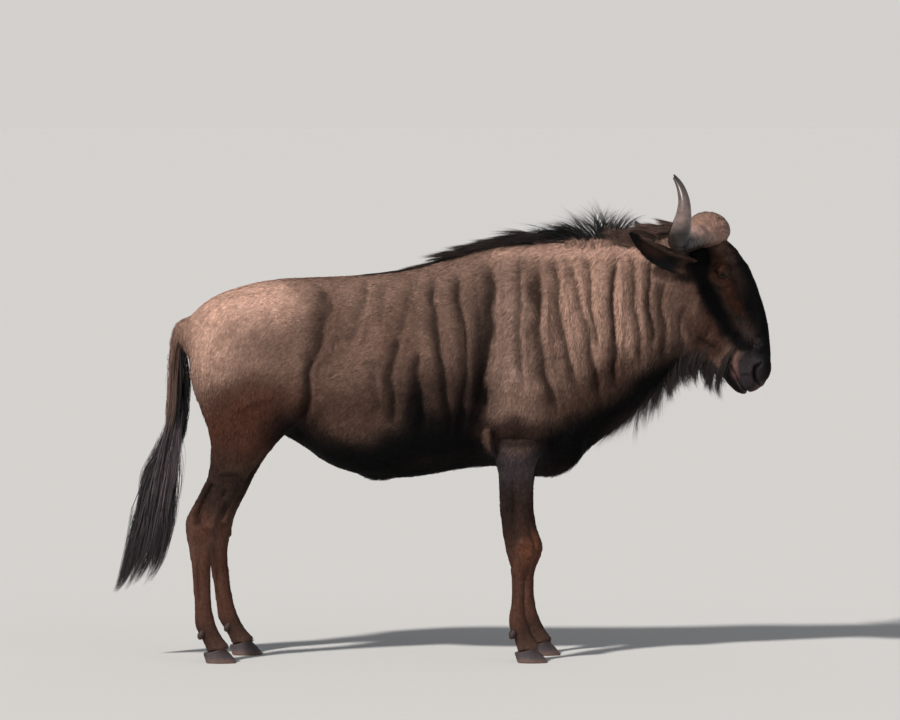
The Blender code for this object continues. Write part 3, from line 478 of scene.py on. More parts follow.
def swept_rings(bends: tuple[Bend, ...], sides: int, steps: int) -> Array:
    """The rings of points round a bent middle line.

    Args:
        bends: the points of the line, with the half sizes of the section there.
        sides: how many points go round.
        steps: how many rings there are between two bends.

    Returns:
        The points, by ring and then round it.
    """
    rows = np.array([(*bend.point, bend.across, bend.along) for bend in bends])
    count = (len(rows) - 1) * steps + 1
    line = through(rows, np.arange(count) / steps)
    way = unit(np.gradient(line[:, :3], axis=0))
    ahead = np.array([1.0, 0.0, 0.0]) - way * way[:, :1]
    ahead = unit(ahead)
    upward = unit(np.cross(way, ahead))
    turn = 2 * math.pi * np.arange(sides) / sides
    offset = ahead[:, None] * (line[:, 4:5] * np.cos(turn))[:, :, None]
    offset = offset + upward[:, None] * (line[:, 3:4] * np.sin(turn))[:, :, None]
    return line[:, None, :3] + offset


def swept(name: str, bends: tuple[Bend, ...], sides: int, steps: int, sign: float = 1.0) -> bpy.types.Object:
    """A closed form along a bent middle line.

    Args:
        name: the object's name.
        bends: the line and its sections.
        sides: how many points go round.
        steps: how many rings there are between two bends.
        sign: the side of the body, as the sign of Y.

    Returns:
        The form.
    """
    rings = swept_rings(bends, sides, steps)
    points = rings.reshape(-1, 3) * np.array([1.0, sign, 1.0])
    return mesh_object(name, points, tube_faces(len(rings), sides))


def select_only(*items: bpy.types.Object) -> None:
    """Select these objects and no others, and make the first one active."""
    bpy.ops.object.select_all(action="DESELECT")
    for item in items:
        item.select_set(True)
    bpy.context.view_layer.objects.active = items[0]


def apply_modifiers(item: bpy.types.Object) -> bpy.types.Object:
    """Apply all modifiers of an object in their order, and give it back."""
    select_only(item)
    for modifier in list(item.modifiers):
        bpy.ops.object.modifier_apply(modifier=modifier.name)
    return item


def joined(name: str, items: list[bpy.types.Object]) -> bpy.types.Object:
    """Join several objects to one.

    Args:
        name: the name of the whole.
        items: the objects, which go into it.

    Returns:
        The whole, at the origin.
    """
    select_only(*items)
    bpy.ops.object.join()
    whole = bpy.context.view_layer.objects.active
    bpy.ops.object.transform_apply(location=True, rotation=True, scale=True)
    whole.name = name
    whole.data.name = name
    return whole


def swelling_forms(swellings: tuple[Swelling, ...]) -> list[bpy.types.Object]:
    """The ellipsoids of muscles and bones, on each side of the middle plane.

    Args:
        swellings: their places, sizes and turns.

    Returns:
        One object for each.
    """
    forms = []
    for swelling in swellings:
        for sign in (-1, 1) if swelling.centre[1] else (1,):
            bpy.ops.object.select_all(action="DESELECT")
            bpy.ops.mesh.primitive_uv_sphere_add(segments=20, ring_count=12, radius=1.0)
            form = bpy.context.object
            centre = (swelling.centre[0], sign * swelling.centre[1], swelling.centre[2])
            turn = Matrix.Rotation(swelling.turn, 4, "Y")
            form.data.transform(Matrix.Translation(centre) @ turn @ Matrix.Diagonal((*swelling.radii, 1.0)))
            forms.append(form)
    return forms


def melded(item: bpy.types.Object, voxel: float, smoothing: int) -> bpy.types.Object:
    """Turn overlapping forms into one smooth closed skin.

    Args:
        item: the forms, joined to one object.
        voxel: the size of the new faces.
        smoothing: how many times the surface is eased.

    Returns:
        The same object with its new mesh.
    """
    remesh = item.modifiers.new("Meld", "REMESH")
    remesh.mode = "VOXEL"
    remesh.voxel_size = voxel
    soften = item.modifiers.new("Soften", "SMOOTH")
    soften.factor = 0.5
    soften.iterations = smoothing
    return apply_modifiers(item)


@dataclass
class Surface:
    """The points and normals of an object's mesh as arrays, to be shaped and put back."""

    item: bpy.types.Object
    points: Array = field(init=False)
    normals: Array = field(init=False)

    def __post_init__(self) -> None:
        """Read the mesh."""
        self.read()

    def read(self) -> None:
        """Read points and normals from the mesh."""
        mesh = self.item.data
        count = len(mesh.vertices)
        self.points = np.empty(count * 3)
        mesh.vertices.foreach_get("co", self.points)
        self.points = self.points.reshape(-1, 3)
        self.normals = np.empty(count * 3)
        mesh.vertex_normals.foreach_get("vector", self.normals)
        self.normals = self.normals.reshape(-1, 3)

    def write(self) -> None:
        """Put the points back, and read the new normals."""
        self.item.data.vertices.foreach_set("co", self.points.ravel())
        self.item.data.update()
        self.read()

    def raise_by(self, heights: Array) -> None:
        """Move the surface out along its normals by a height at each point."""
        self.points = self.points + self.normals * heights[:, None]
        self.write()

    def triangles(self) -> Array:
        """The surface's triangles, as three indices a row."""
        mesh = self.item.data
        mesh.calc_loop_triangles()
        faces = np.empty(len(mesh.loop_triangles) * 3, np.int32)
        mesh.loop_triangles.foreach_get("vertices", faces)
        return faces.reshape(-1, 3)


@dataclass(frozen=True)
class Crease:
    """A fold, vein, tendon or ridge drawn on the side of the body.

    depth is how far it sinks, less than 0 for a ridge. shade is how much the hair in it is darkened: painted shade in
    the crease.
    """

    path: Path
    width: float
    depth: float
    shade: float = 0.0
    y_from: float = 0.0
    y_to: float = 1.0

    def weight(self, x: Array, y: Array, z: Array) -> Array:
        """How strongly the crease acts at each place, from 0 to 1.

        Args:
            x: places along the body.
            y: distances from the middle plane.
            z: heights.

        Returns:
            The crease's strength at each place.
        """
        gap, along = path_distance(x, z, self.path)
        ends = smooth_step(0.0, 0.12, along) * smooth_step(1.0, 0.86, along)
        inside = (y >= self.y_from) & (y <= self.y_to)
        return np.exp(-((gap / self.width) ** 2)) * ends * inside

    def rise(self, x: Array, y: Array, z: Array) -> Array:
        """How far the crease lifts the surface at each place, less than 0 where it sinks."""
        return -self.depth * self.weight(x, y, z)


@dataclass(frozen=True)
class Fold(Crease):
    """An upright fold of loose skin, drawn downwards: it falls gently from the rear and rises sharply ahead."""

    SHIFT = 0.008

    def ahead(self, x: Array, z: Array) -> Array:
        """How far places lie ahead of the fold's line."""
        places, heights = np.array(self.path)[::-1].T
        return x - np.interp(z, heights, places)

    def weight(self, x: Array, y: Array, z: Array) -> Array:
        """How strongly the fold acts at each place, from 0 to 1.

        Args:
            x: places along the body.
            y: distances from the middle plane.
            z: heights.

        Returns:
            The fold's strength at each place.
        """
        x = x - self.SHIFT
        gap, along = path_distance(x, z, self.path)
        ends = smooth_step(0.0, 0.16, along) * smooth_step(1.0, 0.80, along) * (y > 0.02)
        # The weight reaches further behind the line, on the side that faces away from the key light, so the shade
        # painted with it falls where the fold's own shade does.
        reach = self.width * np.where(self.ahead(x, z) < 0, 1.8, 0.50)
        return np.exp(-((gap / reach) ** 2)) * ends

    def rise(self, x: Array, y: Array, z: Array) -> Array:
        """How far the fold lifts the surface: down in its line, up in the roll ahead of it."""
        x = x - self.SHIFT
        gap, along = path_distance(x, z, self.path)
        ends = smooth_step(0.0, 0.16, along) * smooth_step(1.0, 0.80, along) * (y > 0.02)
        roll = np.exp(-(((self.ahead(x, z) - 1.4 * self.width) / (0.9 * self.width)) ** 2)) * (gap < 4 * self.width)
        return (0.50 * roll * ends - self.weight(x, y, z)) * self.depth


# The upright folds of the neck, shoulder and ribs, with painted shade in them: partly the coat's dark stripes, partly
# shade on the side away from the key light
FOLDS = (
    Fold(((-0.405, 1.270), (-0.392, 1.187), (-0.405, 1.100), (-0.437, 1.015)), 0.022, 0.019, 0.52),
    Fold(((-0.378, 1.165), (-0.400, 1.100), (-0.436, 1.020)), 0.006, 0.004, 0.30),
    Fold(((-0.432, 1.050), (-0.456, 0.970), (-0.454, 0.891), (-0.466, 0.800)), 0.013, 0.016, 0.80),
    Fold(((-0.250, 1.287), (-0.259, 1.220), (-0.293, 1.153), (-0.313, 1.040)), 0.017, 0.009, 0.42),
    Fold(((-0.190, 1.285), (-0.202, 1.200), (-0.225, 1.110)), 0.013, 0.005, 0.25),
    Fold(((-0.104, 1.300), (-0.125, 1.180), (-0.150, 1.080)), 0.014, 0.006, 0.32),
    Fold(((-0.150, 1.110), (-0.176, 0.968), (-0.172, 0.780)), 0.014, 0.010, 0.72),
    Fold(((-0.225, 1.030), (-0.235, 0.930), (-0.226, 0.820)), 0.014, 0.006, 0.34),
    Fold(((-0.095, 1.060), (-0.085, 0.960), (-0.070, 0.760)), 0.014, 0.009, 0.75),
    Fold(((-0.040, 1.330), (-0.044, 1.213), (-0.020, 1.092), (0.005, 0.908), (0.020, 0.740)), 0.014, 0.013, 0.80),
    Fold(((0.030, 1.350), (0.048, 1.200), (0.065, 1.052), (0.070, 0.920), (0.048, 0.740)), 0.014, 0.013, 0.80),
    Fold(((0.091, 1.330), (0.111, 1.200), (0.118, 1.080)), 0.012, 0.004, 0.30),
    Fold(((0.155, 1.372), (0.154, 1.203), (0.152, 1.040), (0.128, 0.934), (0.125, 0.780)), 0.019, 0.019, 0.84),
    Fold(((0.253, 1.400), (0.253, 1.284), (0.246, 1.129), (0.252, 1.000), (0.270, 0.900)), 0.012, 0.009, 0.48),
    Fold(((0.306, 1.392), (0.321, 1.237), (0.312, 1.129), (0.335, 0.995), (0.360, 0.880), (0.384, 0.780)), 0.015, 0.015, 0.66),
    Fold(((0.376, 1.395), (0.378, 1.237), (0.394, 1.129), (0.421, 1.020), (0.451, 0.900)), 0.013, 0.014, 0.66),
    Fold(((0.424, 1.385), (0.441, 1.237), (0.468, 1.143), (0.495, 1.040), (0.514, 0.940), (0.530, 0.840)), 0.013, 0.014, 0.66),
    Fold(((0.486, 1.388), (0.488, 1.237), (0.500, 1.120), (0.520, 1.030)), 0.012, 0.012, 0.56),
    Fold(((0.572, 1.398), (0.567, 1.223), (0.570, 1.102), (0.566, 0.998), (0.586, 0.890)), 0.013, 0.018, 0.88),
    Fold(((0.632, 1.390), (0.636, 1.237), (0.650, 1.102), (0.672, 0.970)), 0.013, 0.013, 0.68),
    Fold(((0.690, 1.365), (0.682, 1.240), (0.692, 1.140), (0.706, 1.040)), 0.011, 0.012, 0.80),
    Fold(((0.727, 1.290), (0.737, 1.102), (0.745, 1.000)), 0.012, 0.010, 0.62),
    Fold(((0.790, 1.180), (0.797, 1.100), (0.800, 1.040)), 0.011, 0.007, 0.50),
)

# Muscles, bones, tendons and veins
RELIEF = (
    Crease(((0.185, 1.330), (0.300, 1.180), (0.395, 1.010)), 0.030, -0.007),
    Crease(((0.210, 0.960), (0.300, 0.900), (0.372, 0.930)), 0.030, -0.008, 0.0, 0.10),
    Crease(((0.150, 0.800), (0.200, 0.770), (0.250, 0.800)), 0.018, -0.006, 0.0, 0.08),
    Crease(((-0.545, 1.215), (-0.500, 1.130), (-0.455, 1.020)), 0.030, -0.010),
    Crease(((-0.400, 0.900), (-0.430, 0.840), (-0.455, 0.790)), 0.018, -0.006, 0.0, 0.05),
    Crease(((-0.640, 1.190), (-0.760, 1.040), (-0.770, 0.880)), 0.022, 0.006, 0.10, 0.06),
    Crease(((-0.755, 0.640), (-0.700, 0.648), (-0.645, 0.630)), 0.009, -0.004, 0.0, 0.10),
    Crease(((-0.755, 0.622), (-0.700, 0.630), (-0.650, 0.612)), 0.008, 0.002, 0.22, 0.10),
    Crease(((-0.770, 0.610), (-0.796, 0.560), (-0.822, 0.500), (-0.828, 0.450)), 0.012, 0.013, 0.55, 0.04),
    Crease(((-0.790, 0.610), (-0.822, 0.550), (-0.850, 0.490)), 0.008, -0.003),
    Crease(((-0.722, 0.560), (-0.760, 0.500), (-0.775, 0.440)), 0.013, -0.007, 0.0, 0.04),
    Crease(((-0.724, 0.590), (-0.740, 0.540), (-0.745, 0.490)), 0.008, 0.005, 0.35, 0.10),
    Crease(((-0.800, 0.470), (-0.775, 0.440), (-0.762, 0.400)), 0.013, -0.006, 0.0, 0.04),
    Crease(((-0.822, 0.430), (-0.824, 0.300), (-0.815, 0.190)), 0.007, 0.005, 0.35, 0.04),
    Crease(((-0.560, 0.905), (-0.640, 0.880), (-0.700, 0.850)), 0.012, -0.004, 0.0, 0.05),
    Crease(((-0.470, 0.790), (-0.520, 0.750), (-0.580, 0.690)), 0.014, 0.006, 0.30, 0.05),
    Crease(((0.150, 0.790), (0.160, 0.745), (0.168, 0.700)), 0.010, -0.012, 0.0, 0.05),
    Crease(((0.172, 0.800), (0.184, 0.750), (0.186, 0.690)), 0.007, 0.012, 0.75, 0.05),
    Crease(((0.175, 0.757), (0.260, 0.757), (0.350, 0.752)), 0.009, 0.006, 0.55, 0.06),
    Crease(((0.230, 0.700), (0.225, 0.600), (0.220, 0.500)), 0.016, -0.005, 0.0, 0.05),
    Crease(((0.238, 0.300), (0.242, 0.230), (0.240, 0.180)), 0.007, 0.004, 0.20, 0.04),
    Crease(((0.232, 0.620), (0.240, 0.520), (0.236, 0.450)), 0.009, 0.005, 0.18, 0.04),
    Crease(((0.255, 0.410), (0.290, 0.392), (0.300, 0.350)), 0.013, -0.008, 0.0, 0.03),
    Crease(((0.225, 0.400), (0.235, 0.350), (0.225, 0.310)), 0.010, 0.004, 0.20, 0.03),
    Crease(((-0.255, 1.180), (-0.300, 1.000), (-0.290, 0.860)), 0.022, -0.004),
    Crease(((-0.185, 1.190), (-0.220, 1.000), (-0.210, 0.840)), 0.020, -0.004),
    Crease(((-0.470, 1.262), (-0.545, 1.262), (-0.620, 1.235)), 0.022, -0.006),
)

# The bones and folds of the head
FACE = (
    Crease(((0.896, 1.345), (0.906, 1.383), (0.939, 1.398), (0.973, 1.370), (0.990, 1.325)), 0.013, -0.010),
    Crease(((0.912, 1.340), (0.933, 1.340), (0.953, 1.322)), 0.013, -0.005),
    Crease(((0.900, 1.326), (0.920, 1.346), (0.950, 1.340), (0.974, 1.306)), 0.0045, 0.004, 0.35),
    Crease(((0.902, 1.288), (0.930, 1.270), (0.962, 1.270)), 0.006, -0.003),
    Crease(((0.898, 1.280), (0.930, 1.258), (0.966, 1.258)), 0.0045, 0.004, 0.30),
    Crease(((0.905, 1.258), (0.938, 1.238), (0.975, 1.240)), 0.007, -0.004),
    Crease(((0.910, 1.242), (0.942, 1.222), (0.980, 1.228)), 0.0045, 0.003, 0.20),
    Crease(((0.918, 1.316), (0.904, 1.318), (0.886, 1.312)), 0.004, 0.003, 0.30),
    Crease(((0.956, 1.292), (0.968, 1.281), (0.982, 1.274)), 0.0035, 0.003, 0.45),
    Crease(((0.968, 1.290), (0.985, 1.230), (1.012, 1.165)), 0.010, 0.007, 0.20),
    Crease(((0.995, 1.230), (1.010, 1.205), (1.020, 1.180)), 0.014, -0.006),
    Crease(((0.875, 1.272), (0.915, 1.205), (0.965, 1.135), (1.000, 1.090)), 0.016, -0.009),
    Crease(((0.895, 1.185), (0.930, 1.130), (0.960, 1.080)), 0.016, 0.006, 0.15),
    Crease(((0.800, 1.200), (0.846, 1.105), (0.925, 1.040)), 0.014, 0.009, 0.35),
    Crease(((0.862, 1.240), (0.842, 1.160), (0.880, 1.095), (0.925, 1.065)), 0.018, -0.008),
    Crease(((0.866, 1.400), (0.880, 1.372), (0.880, 1.335)), 0.012, 0.007, 0.30),
    Crease(((1.000, 1.350), (1.040, 1.270), (1.066, 1.180), (1.080, 1.090)), 0.016, -0.005),
    Crease(((0.994, 1.060), (0.975, 1.030), (0.960, 1.000)), 0.009, 0.007, 0.40),
    Crease(((1.064, 1.100), (1.040, 1.050), (1.034, 1.010)), 0.014, 0.006),
    Crease(((1.000, 1.040), (1.018, 1.000), (1.020, 0.960)), 0.018, -0.006),
)

MOUTH_LINE = ((1.052, 0.896), (1.030, 0.899), (1.012, 0.914), (0.996, 0.938), (0.982, 0.968), (0.964, 1.000))
UPPER_LIP = ((1.075, 0.905), (1.040, 0.914), (1.020, 0.932), (1.006, 0.958), (0.994, 0.990))
LOWER_LIP = ((1.050, 0.882), (1.020, 0.886), (1.000, 0.900), (0.982, 0.924), (0.968, 0.958))
NOSTRIL_ARC = ((1.064, 0.930), (1.050, 0.946), (1.046, 0.968), (1.050, 0.990), (1.066, 1.001))
NOSTRIL_RIM = ((1.058, 0.918), (1.038, 0.938), (1.033, 0.968), (1.038, 0.998), (1.062, 1.014))


@dataclass(frozen=True)
class Marking:
    """A patch of colour on the coat: an ellipse on the side of the body with a soft edge."""

    name: str
    pigment: Pigment
    centre: tuple[float, float]
    radii: tuple[float, float]
    strength: float
    turn: float = 0.0
    softness: float = 0.6

    def weight(self, x: Array, z: Array) -> Array:
        """How strongly the patch shows at each place.

        Args:
            x: places along the body.
            z: heights.

        Returns:
            The share of this colour at each place.
        """
        across = x - self.centre[0]
        upward = z - self.centre[1]
        cosine, sine = math.cos(self.turn), math.sin(self.turn)
        long = (across * cosine + upward * sine) / self.radii[0]
        short = (upward * cosine - across * sine) / self.radii[1]
        reach = np.hypot(long, short)
        return smooth_step(1.0 + self.softness, 1.0 - self.softness, reach) * self.strength


@dataclass(frozen=True)
class Band:
    """A long patch of colour that follows a line on the side of the body."""

    name: str
    pigment: Pigment
    path: Path
    width: float
    strength: float
    edge: float = 2.0

    def weight(self, x: Array, z: Array) -> Array:
        """How strongly the band shows at each place.

        Args:
            x: places along the body.
            z: heights.

        Returns:
            The share of this colour at each place.
        """
        gap, _ = path_distance(x, z, self.path)
        return np.exp(-((gap / self.width) ** self.edge)) * self.strength


BACK_LINE = ((-0.830, 1.200), (-0.633, 1.280), (-0.380, 1.300), (-0.090, 1.335), (0.190, 1.420))

# Patches of colour, painted in order. Some of them hold painted shade and shadow as well as the coat's colour, as said
# beside each.
MARKINGS: tuple[Marking | Band, ...] = (
    Band("pale back", Pigment.GREY_BROWN, BACK_LINE, 0.050, 0.35),
    Marking("pale rump", Pigment.BUFF, (-0.690, 1.225), (0.190, 0.090), 0.95, -0.15),
    Marking("rump side", Pigment.BUFF, (-0.750, 1.090), (0.120, 0.150), 0.85, 0.35),
    Marking("haunch", Pigment.TAUPE, (-0.600, 1.010), (0.130, 0.130), 0.75),
    Marking("lower haunch brown", Pigment.UMBER, (-0.610, 0.890), (0.150, 0.080), 0.70),
    # Painted shade in the hollow in front of the hip.
    Marking("flank hollow", Pigment.UMBER, (-0.385, 1.080), (0.070, 0.150), 0.55),
    Marking("flank", Pigment.GREY_BROWN, (-0.260, 1.000), (0.140, 0.180), 0.60),
    Marking("lower haunch", Pigment.RUSSET, (-0.660, 0.790), (0.230, 0.140), 0.97, 0.30),
    Marking("lower flank", Pigment.UMBER, (-0.330, 0.830), (0.150, 0.100), 0.75),
    # Dark hair of the belly together with painted shade under the body.
    Marking("rear belly", Pigment.BLACK, (-0.370, 0.730), (0.090, 0.045), 0.75, -0.5),
    Marking("ribs", Pigment.GREY_BROWN, (0.000, 1.050), (0.180, 0.200), 0.55),
    Marking("lower ribs", Pigment.DARK_BROWN, (-0.020, 0.880), (0.210, 0.110), 0.80),
    # Black below and between the ribs: dark hair of the belly together with painted shade under the body and between
    # the ribs.
    Band("dark ribs", Pigment.BLACK, ((-0.360, 0.650), (-0.220, 0.680), (-0.060, 0.740), (0.130, 0.760)), 0.105, 1.0, 4.0),
    Band("belly", Pigment.BLACK, ((-0.500, 0.760), (-0.420, 0.650), (-0.230, 0.590), (0.180, 0.630)), 0.105, 1.0, 3.0),
    Marking("between ribs", Pigment.BLACK, (-0.095, 0.850), (0.036, 0.090), 0.90, 0.0, 0.5),
    Marking("low between ribs", Pigment.BLACK, (0.040, 0.810), (0.120, 0.060), 0.70, 0.0, 0.6),
    Marking("upper ribs", Pigment.UMBER, (-0.140, 1.130), (0.070, 0.120), 0.35),
    Marking("behind shoulder", Pigment.BLACK, (0.122, 0.980), (0.032, 0.210), 0.80, 0.0, 0.8),
    Marking("shoulder", Pigment.SAND, (0.228, 1.020), (0.062, 0.270), 0.42, 0.03),
    Marking("upper arm", Pigment.TAUPE, (0.235, 0.860), (0.085, 0.075), 0.55),
    Marking("elbow", Pigment.DARK_BROWN, (0.225, 0.790), (0.115, 0.042), 0.97),
    Marking("shoulder spot", Pigment.DARK_BROWN, (0.312, 1.240), (0.030, 0.050), 0.70),
    Band("pale withers", Pigment.BUFF, ((0.200, 1.380), (0.420, 1.392), (0.560, 1.385), (0.700, 1.385)), 0.030, 0.60),
    Marking("neck", Pigment.BUFF, (0.540, 1.200), (0.180, 0.210), 0.78),
    Marking("neck front", Pigment.GREY_BROWN, (0.735, 1.160), (0.060, 0.200), 0.70),
    Marking("lower neck", Pigment.UMBER, (0.520, 0.920), (0.190, 0.080), 0.80, 0.60),
    # Black of the chest and brisket: dark hair together with painted shade under the chest.
    Band("chest", Pigment.BLACK, ((0.340, 0.700), (0.460, 0.780), (0.580, 0.845), (0.700, 0.930), (0.790, 1.000)), 0.070, 1.0, 3.0),
    Marking("brisket", Pigment.BLACK, (0.430, 0.720), (0.120, 0.090), 0.97),
    Marking("elbow flap", Pigment.GREY_BROWN, (0.157, 0.752), (0.014, 0.042), 0.85, 0.0, 0.5),
    Marking("hind shank", Pigment.DARK_BROWN, (-0.750, 0.590), (0.170, 0.130), 0.95),
    Marking("hock", Pigment.RUSSET, (-0.820, 0.455), (0.050, 0.070), 0.75),
    Marking("hind cannon", Pigment.RUSSET, (-0.800, 0.240), (0.120, 0.200), 0.90),
    Marking("fore arm", Pigment.SLATE, (0.250, 0.650), (0.110, 0.085), 0.85),
    Marking("fore arm low", Pigment.DARK_BROWN, (0.245, 0.490), (0.110, 0.110), 0.95),
    Marking("fore cannon", Pigment.RUSSET, (0.260, 0.240), (0.110, 0.200), 0.90),
    Marking("fore shin", Pigment.BLACK, (0.212, 0.480), (0.030, 0.130), 0.50),
    Marking("knee", Pigment.REDDISH, (0.285, 0.375), (0.034, 0.045), 0.75),
    Marking("hind pastern", Pigment.DARK_BROWN, (-0.780, 0.090), (0.090, 0.050), 0.60),
    Marking("fore pastern", Pigment.DARK_BROWN, (0.280, 0.090), (0.090, 0.050), 0.60),
    Marking("cheek", Pigment.UMBER, (0.870, 1.185), (0.062, 0.125), 0.97, 0.55),
    Marking("cheek light", Pigment.GREY_BROWN, (0.812, 1.230), (0.040, 0.080), 0.60, 0.40),
    # Painted shadow of the horn and ear, below the ear.
    Marking("under ear", Pigment.BLACK, (0.815, 1.305), (0.042, 0.030), 0.85, -0.4, 0.5),
    Marking("jaw", Pigment.UMBER, (0.895, 1.075), (0.072, 0.052), 0.97, 0.5),
    Marking("forehead", Pigment.DARK_BROWN, (0.990, 1.360), (0.060, 0.080), 0.90, 0.4),
    # Black hair of the face together with the horn's painted shadow, down to the muzzle.
    Band("face stripe", Pigment.BLACK, ((0.850, 1.400), (0.868, 1.295), (0.912, 1.205), (0.964, 1.120), (1.015, 1.066), (1.075, 1.020)),
         0.042, 1.0, 5.0),
    Marking("face side", Pigment.DARK_BROWN, (1.000, 1.215), (0.050, 0.140), 0.92, 0.45, 0.5),
    Marking("eye patch", Pigment.RUSSET, (0.918, 1.335), (0.024, 0.060), 0.95, 0.15, 0.4),
    Marking("below eye", Pigment.RUSSET, (0.960, 1.245), (0.020, 0.050), 0.90, 0.45, 0.5),
    Marking("face lump", Pigment.REDDISH, (1.003, 1.196), (0.018, 0.024), 0.60, 0.5, 0.6),
    Band("blaze", Pigment.BLACK, ((1.010, 1.400), (1.040, 1.290), (1.068, 1.190), (1.095, 1.080), (1.110, 1.000)),
         0.052, 1.0, 4.0),
    # Painted shadow under the horn.
    Marking("temple", Pigment.BLACK, (0.852, 1.362), (0.060, 0.060), 1.0, 0.0, 0.4),
    Marking("upper lip", Pigment.MUZZLE, (1.030, 0.970), (0.058, 0.066), 1.0, 0.0, 0.3),
    Marking("nose end", Pigment.BLACK, (1.098, 0.970), (0.034, 0.070), 0.90),
    Marking("mouth corner", Pigment.LIP_PINK, (0.984, 0.985), (0.010, 0.042), 0.80, 0.18),
    # Dark skin of the lower lip and chin, with painted shade in the gap behind the chin.
    Band("lower lip", Pigment.BLACK, ((0.955, 1.020), (0.962, 0.960), (0.985, 0.912), (1.020, 0.882)), 0.020, 1.0, 4.0),
)


def coat_colours(points: Array) -> Array:
    """The colour of skin and hair at places on the body, from the named markings and folds, with their painted shade
    and shadow.

    Args:
        points: places on the body, one row each.

    Returns:
        Linear red, green and blue for each place.
    """
    x, y, z = stance(points)
    drift = lattice_noise(points, 0.075, 3)[:, None] * 0.014
    x = x + drift[:, 0]
    z = z + lattice_noise(points, 0.060, 4) * 0.014
    colours = np.tile(Pigment.TAUPE.linear, (len(points), 1))
    for marking in MARKINGS:
        share = marking.weight(x, z)[:, None]
        colours = colours * (1.0 - share) + marking.pigment.linear * share
    # Darken the underside of the barrel: the belly's dark hair together with painted shade under the body.
    belly_dark_and_shade = smooth_step(0.135, 0.060, y) * smooth_step(0.90, 0.72, z) * smooth_step(0.52, 0.62, z)
    colours = colours * (1.0 - 0.75 * belly_dark_and_shade[:, None])
    # Darken the hair in the folds, creases and hollows: painted shade, partly also the dark stripes of the neck and
    # shoulder.
    for fold in FOLDS + RELIEF + FACE:
        if fold.shade:
            colours = colours * (1.0 - fold.shade * fold.weight(x, y, z))[:, None]
    patchy = lattice_noise(points, 0.030, 5) * 0.10 + lattice_noise(points, 0.110, 6) * 0.08
    return np.clip(colours * (1.0 + patchy)[:, None], 0.002, 0.9)


